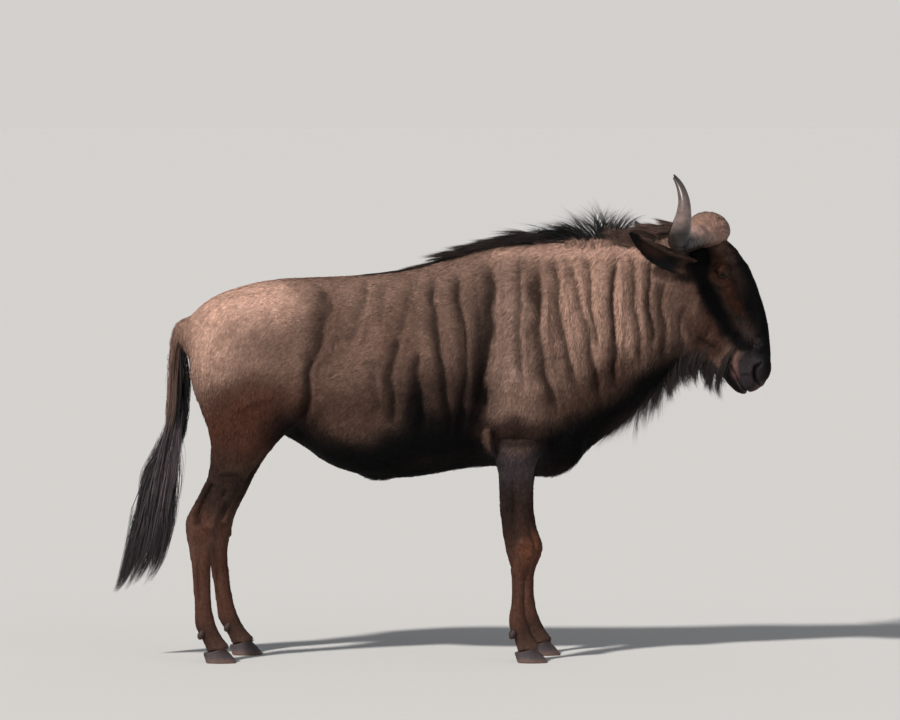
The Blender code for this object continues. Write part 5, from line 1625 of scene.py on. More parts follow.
COAT_SPOTS = (
    CoatSpot((-0.800, 0.050, 1.180), (-0.70, 0.1, -0.70), 0.0126),
    CoatSpot((-0.700, 0.060, 1.250), (-0.95, 0.2, -0.20), 0.0119),
    CoatSpot((-0.720, 0.150, 1.080), (-0.45, 0.0, -0.90), 0.0126),
    CoatSpot((-0.640, 0.180, 0.880), (-0.25, 0.0, -0.97), 0.0119),
    CoatSpot((-0.850, 0.080, 0.980), (-0.15, 0.1, -1.00), 0.0154, lift=0.21),
    CoatSpot((-0.820, 0.100, 0.800), (-0.10, 0.0, -1.00), 0.0154, lift=0.22),
    CoatSpot((-0.500, 0.150, 1.200), (-0.90, 0.1, -0.35), 0.0119),
    CoatSpot((-0.480, 0.180, 0.980), (-0.75, 0.0, -0.65), 0.0126),
    CoatSpot((-0.470, 0.160, 0.800), (-0.45, 0.0, -0.90), 0.0133),
    CoatSpot((-0.350, 0.080, 1.300), (-1.00, 0.2, -0.05), 0.0119),
    CoatSpot((-0.300, 0.200, 1.050), (-0.85, 0.0, -0.50), 0.0126),
    CoatSpot((-0.250, 0.190, 0.780), (-0.70, -0.2, -0.65), 0.0147, lift=0.19),
    CoatSpot((-0.150, 0.040, 0.610), (-0.95, -0.1, -0.20), 0.0182, lift=0.24),
    CoatSpot((-0.050, 0.080, 1.330), (-1.00, 0.3, -0.10), 0.0126),
    CoatSpot((0.000, 0.200, 1.050), (-0.80, 0.0, -0.60), 0.0126),
    CoatSpot((0.040, 0.180, 0.780), (-0.70, -0.2, -0.65), 0.0147, lift=0.19),
    CoatSpot((0.080, 0.050, 0.640), (-0.95, -0.1, -0.20), 0.0168, lift=0.24),
    CoatSpot((0.150, 0.170, 1.100), (-0.60, 0.0, -0.80), 0.014),
    CoatSpot((0.200, 0.080, 1.400), (-0.85, 0.4, -0.30), 0.0168, lift=0.21),
    CoatSpot((0.280, 0.180, 1.150), (-0.40, 0.0, -0.92), 0.0168, lift=0.19),
    CoatSpot((0.270, 0.180, 0.900), (-0.30, 0.0, -0.95), 0.0147),
    CoatSpot((0.180, 0.160, 0.760), (-0.40, 0.0, -0.92), 0.0168, lift=0.24),
    CoatSpot((0.400, 0.070, 1.400), (-0.75, 0.5, -0.50), 0.021, lift=0.24),
    CoatSpot((0.420, 0.150, 1.150), (-0.30, 0.0, -0.95), 0.0189, 0.0018, 0.20),
    CoatSpot((0.450, 0.120, 0.880), (-0.30, 0.0, -0.95), 0.0182, 0.0018, 0.20),
    CoatSpot((0.430, 0.040, 0.680), (-0.50, 0.0, -0.87), 0.0238, 0.0018, 0.26),
    CoatSpot((0.580, 0.060, 1.400), (-0.60, 0.5, -0.65), 0.0224, 0.0018, 0.22),
    CoatSpot((0.580, 0.110, 1.180), (-0.25, 0.0, -0.97), 0.0203, 0.0018, 0.21),
    CoatSpot((0.580, 0.080, 0.900), (-0.40, 0.0, -0.92), 0.0224, 0.0018, 0.24),
    CoatSpot((0.720, 0.090, 1.300), (-0.30, 0.1, -0.95), 0.0182, 0.0017, 0.20),
    CoatSpot((0.720, 0.080, 1.080), (-0.35, 0.0, -0.93), 0.0182, 0.0017, 0.21),
    CoatSpot((0.850, 0.080, 1.420), (-0.80, 0.3, -0.40), 0.0112, 0.0013, 0.17, 1.3),
    CoatSpot((0.850, 0.080, 1.200), (-0.45, 0.0, -0.90), 0.0105, 0.0013, 0.15, 1.4),
    CoatSpot((0.860, 0.050, 1.080), (-0.55, 0.0, -0.80), 0.0126, 0.0013, 0.18, 1.4),
    CoatSpot((0.960, 0.050, 1.400), (0.45, 0.1, -0.88), 0.0084, 0.0012, 0.15, 1.8),
    CoatSpot((0.970, 0.080, 1.280), (-0.10, 0.1, -0.98), 0.0063, 0.0011, 0.12, 2.2),
    CoatSpot((1.030, 0.040, 1.290), (0.40, 0.1, -0.90), 0.0084, 0.0012, 0.17, 2.0),
    CoatSpot((1.080, 0.040, 1.160), (0.25, 0.1, -0.96), 0.0098, 0.0012, 0.20, 2.0),
    CoatSpot((1.000, 0.060, 1.120), (-0.20, 0.0, -0.97), 0.007, 0.0011, 0.14, 2.0),
    CoatSpot((1.100, 0.040, 1.030), (0.05, 0.1, -0.98), 0.0056, 0.0010, 0.15, 2.2),
    CoatSpot((1.060, 0.060, 0.970), (-0.05, 0.1, -0.98), 0.0035, 0.0009, 0.12, 2.2),
    CoatSpot((0.990, 0.040, 0.920), (-0.60, 0.1, -0.70), 0.0049, 0.0009, 0.18, 2.0),
    CoatSpot((-0.640, 0.130, 0.640), (-0.25, 0.0, -0.97), 0.0091, 0.0015, 0.14, 1.1),
    CoatSpot((-0.780, 0.130, 0.560), (-0.20, 0.0, -0.97), 0.0098, 0.0015, 0.15, 1.1),
    CoatSpot((-0.810, 0.130, 0.430), (-0.02, 0.0, -1.00), 0.007, 0.0013, 0.12, 1.3),
    CoatSpot((-0.810, 0.130, 0.250), (0.02, 0.0, -1.00), 0.0063, 0.0012, 0.11, 1.4),
    CoatSpot((-0.790, 0.140, 0.110), (0.10, 0.0, -1.00), 0.0063, 0.0011, 0.14, 1.4),
    CoatSpot((0.250, 0.130, 0.620), (-0.08, 0.0, -1.00), 0.0091, 0.0014, 0.14, 1.1),
    CoatSpot((0.245, 0.130, 0.470), (0.00, 0.0, -1.00), 0.007, 0.0013, 0.12, 1.3),
    CoatSpot((0.260, 0.130, 0.370), (0.02, 0.0, -1.00), 0.0063, 0.0012, 0.11, 1.4),
    CoatSpot((0.252, 0.130, 0.220), (0.00, 0.0, -1.00), 0.0063, 0.0012, 0.11, 1.4),
    CoatSpot((0.275, 0.130, 0.110), (0.12, 0.0, -1.00), 0.0063, 0.0011, 0.14, 1.4),
    CoatSpot((-0.900, 0.015, 1.060), (-0.10, 0.2, -1.00), 0.014, 0.0015, 0.20, 1.2),
    CoatSpot((-0.915, 0.012, 0.940), (-0.08, 0.2, -1.00), 0.0154, 0.0015, 0.20, 1.2),
    CoatSpot((-0.930, 0.010, 0.800), (-0.12, 0.2, -1.00), 0.0154, 0.0015, 0.22, 1.2),
)


@dataclass(frozen=True)
class CoatPart:
    """A stretch of the coat: the box that its roots lie in, brought to the near side, and how many tufts."""

    name: str
    low: tuple[float, float]
    high: tuple[float, float]
    tufts: int
    seed: int
    on_legs: bool = False


COAT_PARTS = (
    CoatPart("coat_rump", (-1.10, 0.60), (-0.62, 1.70), 57000, 21),
    CoatPart("coat_loin", (-0.62, 0.60), (-0.30, 1.70), 60000, 22),
    CoatPart("coat_barrel", (-0.30, 0.50), (0.08, 1.70), 62000, 23),
    CoatPart("coat_shoulder", (0.08, 0.66), (0.40, 1.70), 62000, 24),
    CoatPart("coat_neck", (0.40, 0.50), (0.80, 1.70), 62000, 25),
    CoatPart("coat_head", (0.80, 0.80), (1.20, 1.70), 60000, 26),
    CoatPart("coat_hind_legs", (-1.10, 0.00), (-0.30, 0.60), 31000, 27, True),
    CoatPart("coat_fore_legs", (0.08, 0.00), (0.40, 0.66), 31000, 28, True),
)


@dataclass
class Blades:
    """Thin flat blades of hair gathered for one mesh, each tapering to a point."""

    spines: Array
    across: Array
    colours: Array
    roots: Array
    profile: Array
    facing: Array | None = None

    def mesh_object(self, name: str) -> bpy.types.Object:
        """Build the mesh of all blades with their colours and their bake map.

        Args:
            name: the piece's name.

        Returns:
            The piece.
        """
        count, rings = self.spines.shape[:2]
        pairs = rings - 1
        side = self.across * self.profile[None, :pairs, None]
        left = self.spines[:, :pairs] + side
        right = self.spines[:, :pairs] - side
        points = np.concatenate([
            np.stack([left, right], axis=2).reshape(count, pairs * 2, 3), self.spines[:, -1:],
        ], axis=1)
        each = pairs * 2 + 1
        quads = [(2 * ring, 2 * ring + 1, 2 * ring + 3, 2 * ring + 2) for ring in range(pairs - 1)]
        pattern = np.array([corner for quad in quads for corner in quad] + [each - 3, each - 2, each - 1])
        sizes = np.array([4] * len(quads) + [3])
        corners_of = (pattern[None] + (np.arange(count) * each)[:, None]).ravel()
        faces = len(sizes) * count
        starts = np.concatenate([[0], np.cumsum(np.tile(sizes, count))[:-1]])
        mesh = bpy.data.meshes.new(name)
        mesh.vertices.add(count * each)
        mesh.vertices.foreach_set("co", points.astype(np.float32).ravel())
        mesh.loops.add(len(corners_of))
        mesh.loops.foreach_set("vertex_index", corners_of.astype(np.int32))
        mesh.polygons.add(faces)
        mesh.polygons.foreach_set("loop_start", starts.astype(np.int32))
        mesh.update(calc_edges=True)
        shade = np.concatenate([
            np.repeat(self.colours[:, :pairs], 2, axis=1), self.colours[:, -1:],
        ], axis=1).reshape(-1, 3)
        layer = mesh.color_attributes.new(COAT_COLOUR, "FLOAT_COLOR", "POINT")
        layer.data.foreach_set("color", np.column_stack([shade, np.ones(len(shade))]).astype(np.float32).ravel())
        patch = np.zeros((each, 2))
        patch[:-1:2, 0] = 0.0028
        patch[:-1, 1] = np.repeat(np.linspace(0.0, 0.0028, pairs), 2)
        patch[-1] = (0.0014, 0.0030)
        places = (self.roots[:, None] + patch[None]).reshape(-1, 2)
        bake = mesh.uv_layers.new(name=BAKE_MAP)
        bake.data.foreach_set("uv", places[corners_of].astype(np.float32).ravel())
        mesh.shade_smooth()
        if self.facing is not None:
            mesh.normals_split_custom_set_from_vertices(np.repeat(self.facing, each, axis=0).tolist())
        item = bpy.data.objects.new(name, mesh)
        bpy.context.scene.collection.objects.link(item)
        return item


def paint(item: bpy.types.Object, colours: Array) -> None:
    """Store a linear colour for each point of a mesh, where the finishes read it."""
    layer = item.data.color_attributes.new(COAT_COLOUR, "FLOAT_COLOR", "POINT")
    layer.data.foreach_set("color", np.column_stack([colours, np.ones(len(colours))]).ravel())


def unwrap(points: Array, on_legs: bool) -> Array:
    """Places on a flat map of the skin's own shape, where the body and each leg are opened like a tube.

    Args:
        points: places on the skin.
        on_legs: whether these are on the legs, which have an island each.

    Returns:
        A row of two numbers from 0 to 1 for each place.
    """
    x, y, z = points[:, 0], points[:, 1], points[:, 2]
    near_x = stance(points)[0]
    if on_legs:
        tables = (HIND_LEG, FORE_LEG)
        middle_x = np.zeros(len(x))
        for table, is_this in zip(tables, (x < -0.2, x >= -0.2)):
            heights = np.array([0.5 * (one.first[1] + one.last[1]) for one in table])[::-1]
            places = np.array([0.5 * (one.first[0] + one.last[0]) for one in table])[::-1]
            middle_x = np.where(is_this, np.interp(z, heights, places), middle_x)
        turn = np.arctan2(np.abs(y) - 0.13, near_x - middle_x) / (2 * math.pi) + 0.5
        column = np.where(y > 0, 0.5, 0.0)
        flat = np.stack([column + 0.02 + 0.45 * turn, 0.02 + 0.95 * np.clip(z / 0.66, 0.0, 1.0)], axis=1)
        return flat
    table = TRUNK + HEAD[5:]
    axis_x = np.array([0.5 * (one.first[0] + one.last[0]) for one in table])
    axis_z = np.array([0.5 * (one.first[1] + one.last[1]) for one in table])
    order = np.argsort(axis_x)
    middle_z = np.interp(x, axis_x[order], axis_z[order])
    turn = np.arctan2(y, z - middle_z) / (2 * math.pi) + 0.5
    low, high = x.min(), x.max()
    return np.stack([0.01 + 0.975 * (x - low) / (high - low), 0.01 + 0.975 * turn], axis=1)


def hair_fields(points: Array) -> tuple[Array, Array, Array, Array, Array]:
    """The way, length, width, lift and density of the short hair at places on the body.

    Args:
        points: places on the skin.

    Returns:
        One row or number for each place, in that order.
    """
    x, y, z = stance(points)
    here = np.stack([x, y, z], axis=1)
    places = np.array([spot.place for spot in COAT_SPOTS])
    ways = np.array([spot.way for spot in COAT_SPOTS])
    numbers = np.array([(spot.length, spot.width, spot.lift, spot.density) for spot in COAT_SPOTS])
    gaps = np.sum((here[:, None] - places[None]) ** 2, axis=2)
    shares = 1.0 / (gaps + 0.0012) ** 2
    shares /= shares.sum(axis=1, keepdims=True)
    way = shares @ ways
    way[:, 1] *= np.sign(points[:, 1])
    length, width, lift, density = (shares @ numbers).T
    return way, length, width, lift, density


@dataclass
class Coat:
    """The short coat: tufts over the whole skin that lie along the body."""

    hide: Hide

    def build(self) -> None:
        """Grow every part of the coat."""
        skin = self.hide.surface
        faces = skin.triangles()
        corner = skin.points[faces]
        areas = 0.5 * np.linalg.norm(np.cross(corner[:, 1] - corner[:, 0], corner[:, 2] - corner[:, 0]), axis=1)
        middles = corner.mean(axis=1)
        x, y, z = stance(middles)
        density = np.concatenate([
            hair_fields(middles[start:start + 40000])[4] for start in range(0, len(middles), 40000)
        ])
        weights = areas * density * self.bareness(middles)
        finish = HairFinish("Coat", 0.70, 0.08).material()
        for part in COAT_PARTS:
            inside = (x >= part.low[0]) & (x < part.high[0]) & (z >= part.low[1]) & (z < part.high[1])
            item = self.grow(part, faces, weights * inside)
            item.data.materials.append(finish)
            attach(item, BODY)
            log.info("%s: %d tufts", part.name, part.tufts)

    @staticmethod
    def bareness(points: Array) -> Array:
        """How much hair there is at places: none in the eyes' openings, the nostrils and the mouth.

        Args:
            points: places on the skin.

        Returns:
            A share from 0 to 1 for each place.
        """
        x, y, z = stance(points)
        share = np.ones(len(x))
        gap, _ = path_distance(x, z, MOUTH_LINE)
        share *= np.where(x > 0.93, smooth_step(0.004, 0.010, gap), 1.0)
        gap, _ = path_distance(x, z, NOSTRIL_ARC)
        share *= np.where(x > 1.0, smooth_step(0.007, 0.013, gap), 1.0)
        ahead, above = x - EYE_CENTRE[0], z - EYE_CENTRE[2]
        reach = np.hypot((0.88 * ahead - 0.47 * above) / 0.0245, (0.47 * ahead + 0.88 * above + 0.0105) / 0.0105)
        share *= np.where(y > 0.06, smooth_step(1.0, 1.3, reach), 1.0)
        sole = smooth_step(0.030, 0.045, z)
        return share * sole

    def grow(self, part: CoatPart, faces: Array, weights: Array) -> bpy.types.Object:
        """Grow one part of the coat.

        Args:
            part: which part.
            faces: the skin's triangles.
            weights: how likely a tuft is to root in each.

        Returns:
            The piece.
        """
        skin = self.hide.surface
        draw = np.random.default_rng(part.seed)
        edges = np.cumsum(weights)
        chosen = np.searchsorted(edges, draw.random(part.tufts) * edges[-1])
        split = draw.random((part.tufts, 2))
        split = np.where(split.sum(axis=1, keepdims=True) > 1.0, 1.0 - split, split)
        shares = np.column_stack([1.0 - split.sum(axis=1), split])[:, :, None]
        roots = (skin.points[faces[chosen]] * shares).sum(axis=1)
        normals = unit((skin.normals[faces[chosen]] * shares).sum(axis=1))
        return self.tufts(part.name, roots, normals, draw, unwrap(roots, part.on_legs))

    @staticmethod
    def tufts(name: str, roots: Array, normals: Array, draw: np.random.Generator,
              places: Array) -> bpy.types.Object:
        """Build tufts that lie along the body.

        Args:
            name: the piece's name.
            roots: where they root.
            normals: the skin's ways out there.
            draw: the random draw.
            places: their places on the bake map.

        Returns:
            The piece.
        """
        count = len(roots)
        way, length, width, lift, _ = hair_fields(roots)
        wander = lattice_noise(roots, 0.045, 8) * 0.28 + draw.normal(0.0, 0.12, count)
        way = unit(way - normals * np.sum(way * normals, axis=1, keepdims=True))
        beside = np.cross(normals, way)
        way = unit(way + beside * wander[:, None])
        beside = np.cross(normals, way)
        length = length * (1.0 + 0.25 * lattice_noise(roots, 0.020, 9)) * draw.uniform(0.65, 1.25, count)
        lift = lift * draw.uniform(0.5, 1.5, count) * (1.0 + 0.5 * lattice_noise(roots, 0.035, 10))
        bend = draw.normal(0.0, 0.10, count) * length
        spines = []
        for along, height in ((0.0, -0.10), (0.5, 0.72), (1.0, 1.0)):
            rise = length * lift * height
            spines.append(roots + way * (length * along)[:, None] + normals * rise[:, None]
                          + beside * (bend * along * along)[:, None])
        roll = draw.normal(0.0, 0.25, count)[:, None]
        across = beside * np.cos(roll) + normals * np.sin(roll)
        across = across[:, None] * (width * draw.uniform(0.7, 1.3, count) * 0.5)[:, None, None]
        tone = np.exp(draw.normal(0.0, 0.15, count) + 0.12 * lattice_noise(roots, 0.008, 11))
        colours = coat_colours(roots) * tone[:, None]
        # Each tuft is darker at its root, as painted shade among the hairs, and lighter at its tip.
        root_shade_tip_grades = np.array([0.80, 1.00, 1.12])
        facing = unit(normals + 0.16 * way + draw.normal(0.0, 0.15, (count, 3)))
        blades = Blades(np.stack(spines, axis=1), np.repeat(across, 2, axis=1),
                        colours[:, None] * root_shade_tip_grades[None, :, None], places, np.array([0.8, 1.0, 0.0]), facing)
        return blades.mesh_object(name)


@dataclass(frozen=True)
class HairBed:
    """A stretch of skin with long hair, in locks of many strands.

    start and end are the root line in the XZ plane, with the hair on the left of the way between them. Angles
    are degrees in that plane, 0 towards the nose and 90 straight up. on_side roots it on both flanks instead.
    """

    start: tuple[float, float]
    end: tuple[float, float]
    locks: int
    strands: int
    spread: float
    length: float
    angles: tuple[float, float]
    curl: float
    splay: float
    width: float = 0.0015
    stray: float = 4.0
    clump: float = 0.6
    root: Pigment = Pigment.BLACK
    tip: Pigment = Pigment.BLACK
    on_side: bool = False


MANE = (
    HairBed((-0.165, 1.300), (0.070, 1.375), 18, 80, 0.014, 0.150, (192, 191), 6, 0.10, stray=2.5,
            tip=Pigment.DARK_BROWN),
    HairBed((0.060, 1.372), (0.300, 1.430), 26, 96, 0.024, 0.180, (185, 178), 8, 0.26, stray=2.5,
            tip=Pigment.DARK_BROWN),
    HairBed((0.270, 1.430), (0.440, 1.430), 22, 84, 0.026, 0.205, (170, 162), 36, 0.40, stray=3.5,
            tip=Pigment.DARK_BROWN),
    HairBed((0.410, 1.432), (0.500, 1.430), 26, 34, 0.022, 0.180, (154, 134), 58, 0.16, 0.0011, 6.0, 0.45),
    HairBed((0.470, 1.428), (0.560, 1.430), 28, 14, 0.020, 0.156, (126, 96), 58, 0.08, 0.0010, 8.0, 0.60),
    HairBed((0.520, 1.430), (0.605, 1.430), 28, 13, 0.020, 0.146, (102, 76), -60, 0.08, 0.0010, 8.0, 0.60),
    HairBed((0.610, 1.435), (0.700, 1.452), 26, 84, 0.046, 0.108, (142, 154), 38, 0.26, 0.0011, 5.0, 0.5,
            tip=Pigment.GREY_BROWN),
    HairBed((0.690, 1.450), (0.825, 1.466), 34, 94, 0.046, 0.126, (155, 164), 27, 0.22, 0.0011, 4.0, 0.5,
            tip=Pigment.GREY_BROWN),
    HairBed((0.425, 1.395), (0.585, 1.395), 24, 46, 0.016, 0.038, (130, 66), 0, 0.06, 0.0010, 10.0, 0.3,
            Pigment.GREY_BROWN, Pigment.TAUPE, True),
)

BEARD = (
    HairBed((0.812, 1.045), (0.752, 0.976), 16, 70, 0.026, 0.130, (262, 250), 18, 0.10, 0.0008, 9.0, 0.5,
            tip=Pigment.DARK_BROWN),
    HairBed((0.790, 1.015), (0.650, 0.862), 28, 50, 0.026, 0.178, (248, 228), 18, 0.10, 0.0007, 10.0, 0.5,
            tip=Pigment.DARK_BROWN),
    HairBed((0.670, 0.880), (0.560, 0.790), 16, 38, 0.024, 0.120, (234, 218), 14, 0.10, 0.0007, 10.0, 0.5,
            tip=Pigment.DARK_BROWN),
)

JAW = (
    HairBed((0.955, 0.990), (0.815, 1.075), 22, 100, 0.042, 0.122, (240, 230), 70, 0.10, 0.0011, 9.0, 0.75,
            Pigment.DARK_BROWN, Pigment.BLACK),
)

NOSE_BAND = (
    HairBed((1.000, 1.172), (1.072, 1.068), 60, 9, 0.026, 0.022, (278, 292), -8, 0.06, 0.0007, 9.0, 0.10,
            Pigment.BLACK, Pigment.SLATE, True),
)


@dataclass
class LongHair:
    """The mane, the beard and the hair of the jaw, strand by strand."""

    hide: Hide
    steps: int = 7

    def build(self) -> None:
        """Grow each kind of long hair."""
        finish = HairFinish("Long hair", 0.45, 0.38, 0.1).material()
        kinds = (("mane", MANE, 41), ("beard", BEARD, 42), ("jaw_hair", JAW, 43), ("nose_hair", NOSE_BAND, 44))
        for name, beds, seed in kinds:
            item = self.grow(name, beds, np.random.default_rng(seed))
            item.data.materials.append(finish)
            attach(item, BODY)
            log.info("%s: %d faces", name, len(item.data.polygons))

    def grow(self, name: str, beds: tuple[HairBed, ...], draw: np.random.Generator) -> bpy.types.Object:
        """Grow the strands of some beds as one piece.

        Args:
            name: the piece's name.
            beds: where the hair roots and how it lies.
            draw: the random draw.

        Returns:
            The piece.
        """
        shape = bmesh.new()
        shape.from_mesh(self.hide.item.data)
        tree = BVHTree.FromBMesh(shape)
        shape.free()
        spines, across, colours, roots = [], [], [], []
        for bed in beds:
            made = self.bed_strands(bed, tree, draw)
            for gathered, part in zip((spines, across, colours, roots), made):
                gathered.append(part)
        roots = np.concatenate(roots)
        profile = np.interp(np.linspace(0, 1, self.steps), [0, 0.15, 0.6, 1.0], [0.7, 1.0, 0.85, 0.12])
        blades = Blades(np.concatenate(spines), np.concatenate(across), np.concatenate(colours),
                        unwrap(roots, False), profile)
        return blades.mesh_object(name)

    def bed_strands(self, bed: HairBed, tree: BVHTree, draw: np.random.Generator) -> tuple[Array, ...]:
        """Lay out the strands of one bed.

        Args:
            bed: where the hair roots and how it lies.
            tree: the skin, to find the roots on.
            draw: the random draw.

        Returns:
            The strands' spines, their ways across, their colours and their roots.
        """
        count = bed.locks * bed.strands
        lock = np.repeat(np.arange(bed.locks), bed.strands)
        start, end = np.array(bed.start), np.array(bed.end)
        way = (end - start) / np.linalg.norm(end - start)
        out = np.array([-way[1], 0.0, way[0]])
        place = (np.arange(bed.locks) + draw.uniform(0.1, 0.9, bed.locks)) / bed.locks
        flank = np.where(np.arange(bed.locks) % 2, 1.0, -1.0)
        aside = flank * bed.spread * draw.uniform(0.0, 1.0, bed.locks)
        near = np.clip(place[lock] + draw.normal(0.0, 0.45 / bed.locks, count), 0.0, 1.0)
        limit = 1.3 * bed.spread
        off = np.clip(aside[lock] + draw.normal(0.0, 0.30 * bed.spread, count), -limit, limit)
        flat = start + (end - start) * near[:, None]
        middles = np.stack([flat[:, 0], off, flat[:, 1]], axis=1)
        rays = np.tile(-out, (count, 1))
        if bed.on_side:
            middles = np.stack([flat[:, 0], np.zeros(count), flat[:, 1]], axis=1) + out * off[:, None]
            rays = np.array([0.0, -1.0, 0.0]) * flank[lock][:, None]
        roots = np.array([
            np.array(tree.ray_cast(Vector(middle - ray * 0.3), Vector(ray))[0]) + ray * 0.003
            for middle, ray in zip(middles, rays)
        ])
        angle = bed.angles[0] + (bed.angles[1] - bed.angles[0]) * near
        angle += draw.normal(0.0, bed.stray, bed.locks)[lock] + draw.normal(0.0, 0.4 * bed.stray, count)
        curl = bed.curl * (draw.uniform(0.5, 1.4, bed.locks)[lock] + draw.normal(0.0, 0.12, count))
        length = bed.length * draw.uniform(0.75, 1.12, bed.locks)[lock] * draw.uniform(0.62, 1.08, count)
        turned = flank[lock] if bed.on_side else np.sign(off)
        side = turned * bed.splay * draw.uniform(0.3, 1.2, bed.locks)[lock] + draw.normal(0.0, 0.05, count)
        spine = [roots]
        for step in range(self.steps):
            part = (step + 0.5) / self.steps
            heading = np.radians(angle + curl * part)
            move = np.stack([np.cos(heading), side * 2 * part, np.sin(heading)], axis=1)
            spine.append(spine[-1] + unit(move) * (length / self.steps)[:, None])
        spines = np.stack(spine, axis=1)
        centre = np.stack([spines[lock == one].mean(axis=0) for one in range(bed.locks)])[lock]
        pull = (np.linspace(0, 1, self.steps + 1) ** 1.3 * bed.clump)[None, :, None]
        spines = spines + (centre - spines) * pull * draw.uniform(0.6, 1.0, (count, 1, 1))
        reach = np.linspace(0, 1, self.steps + 1)[None, :, None] ** 1.5
        spines = spines + reach * draw.normal(0.0, 0.020 * bed.length, (count, 1, 3))
        self.lay_outside(spines, tree)
        turn = draw.uniform(0.0, math.pi, count)
        ahead = unit(np.gradient(spines, axis=1))[:, :-1]
        flat = np.array([0.0, 1.0, 0.0]) * np.cos(turn)[:, None] + out * np.sin(turn)[:, None]
        half = bed.width * draw.uniform(0.7, 1.2, count) * 0.5
        across = unit(np.cross(ahead, flat[:, None])) * half[:, None, None]
        blend = np.linspace(0.0, 1.0, self.steps + 1)[None, :, None] ** 1.2
        shade = bed.root.linear * (1 - blend) + bed.tip.linear * blend
        tone = np.exp(draw.normal(0.0, 0.25, bed.locks)[lock] + draw.normal(0.0, 0.25, count))
        return spines, across, shade * tone[:, None, None], roots

    @staticmethod
    def lay_outside(spines: Array, tree: BVHTree, clearance: float = 0.0025) -> None:
        """Lift the strands that would run under the skin back onto it.

        Args:
            spines: the strands, which are changed.
            tree: the skin.
            clearance: how far outside a strand stays, past its root.
        """
        for strand in spines:
            for index in range(2, len(strand)):
                near, normal, _, gap = tree.find_nearest(Vector(strand[index]), 0.06)
                if near is None:
                    continue
                height = (Vector(strand[index]) - near).dot(normal)
                if height < clearance:
                    strand[index] = np.array(near + normal * clearance)


TAIL_SHAPE = (
    (-0.880, 1.120, 0.024), (-0.886, 1.080, 0.030), (-0.890, 1.030, 0.036), (-0.894, 0.943, 0.039),
    (-0.902, 0.842, 0.039), (-0.924, 0.741, 0.048), (-0.945, 0.640, 0.056), (-0.964, 0.539, 0.062),
    (-0.982, 0.438, 0.066), (-1.006, 0.337, 0.066), (-1.040, 0.262, 0.058), (-1.068, 0.222, 0.050),
)


@dataclass(frozen=True)
class TailBed:
    """Some of the tail's locks: where along the tail they start and end, and where across it they lie."""

    locks: int
    strands: int
    starts: tuple[float, float]
    ends: tuple[float, float]
    across: tuple[float, float]
    pigment: Pigment
    bright: float = 1.0


TAIL_BEDS = (
    TailBed(12, 80, (0.06, 0.40), (0.42, 0.66), (0.15, 0.95), Pigment.BLACK, 1.6),
    TailBed(12, 50, (0.04, 0.34), (0.20, 0.48), (-1.00, 0.10), Pigment.GREY_BROWN, 0.9),
    TailBed(20, 80, (0.32, 0.50), (0.64, 0.88), (-0.95, 0.95), Pigment.SLATE, 1.35),
    TailBed(22, 70, (0.44, 0.62), (0.76, 0.93), (-1.00, 1.00), Pigment.SLATE, 0.64),
    TailBed(10, 50, (0.50, 0.66), (0.92, 1.02), (-1.20, -0.25), Pigment.SLATE, 0.46),
    TailBed(7, 40, (0.56, 0.68), (0.86, 0.97), (-0.30, 0.85), Pigment.SLATE, 0.32),
    TailBed(12, 9, (0.30, 0.70), (0.60, 1.00), (-1.30, 1.25), Pigment.BLACK, 1.6),
)


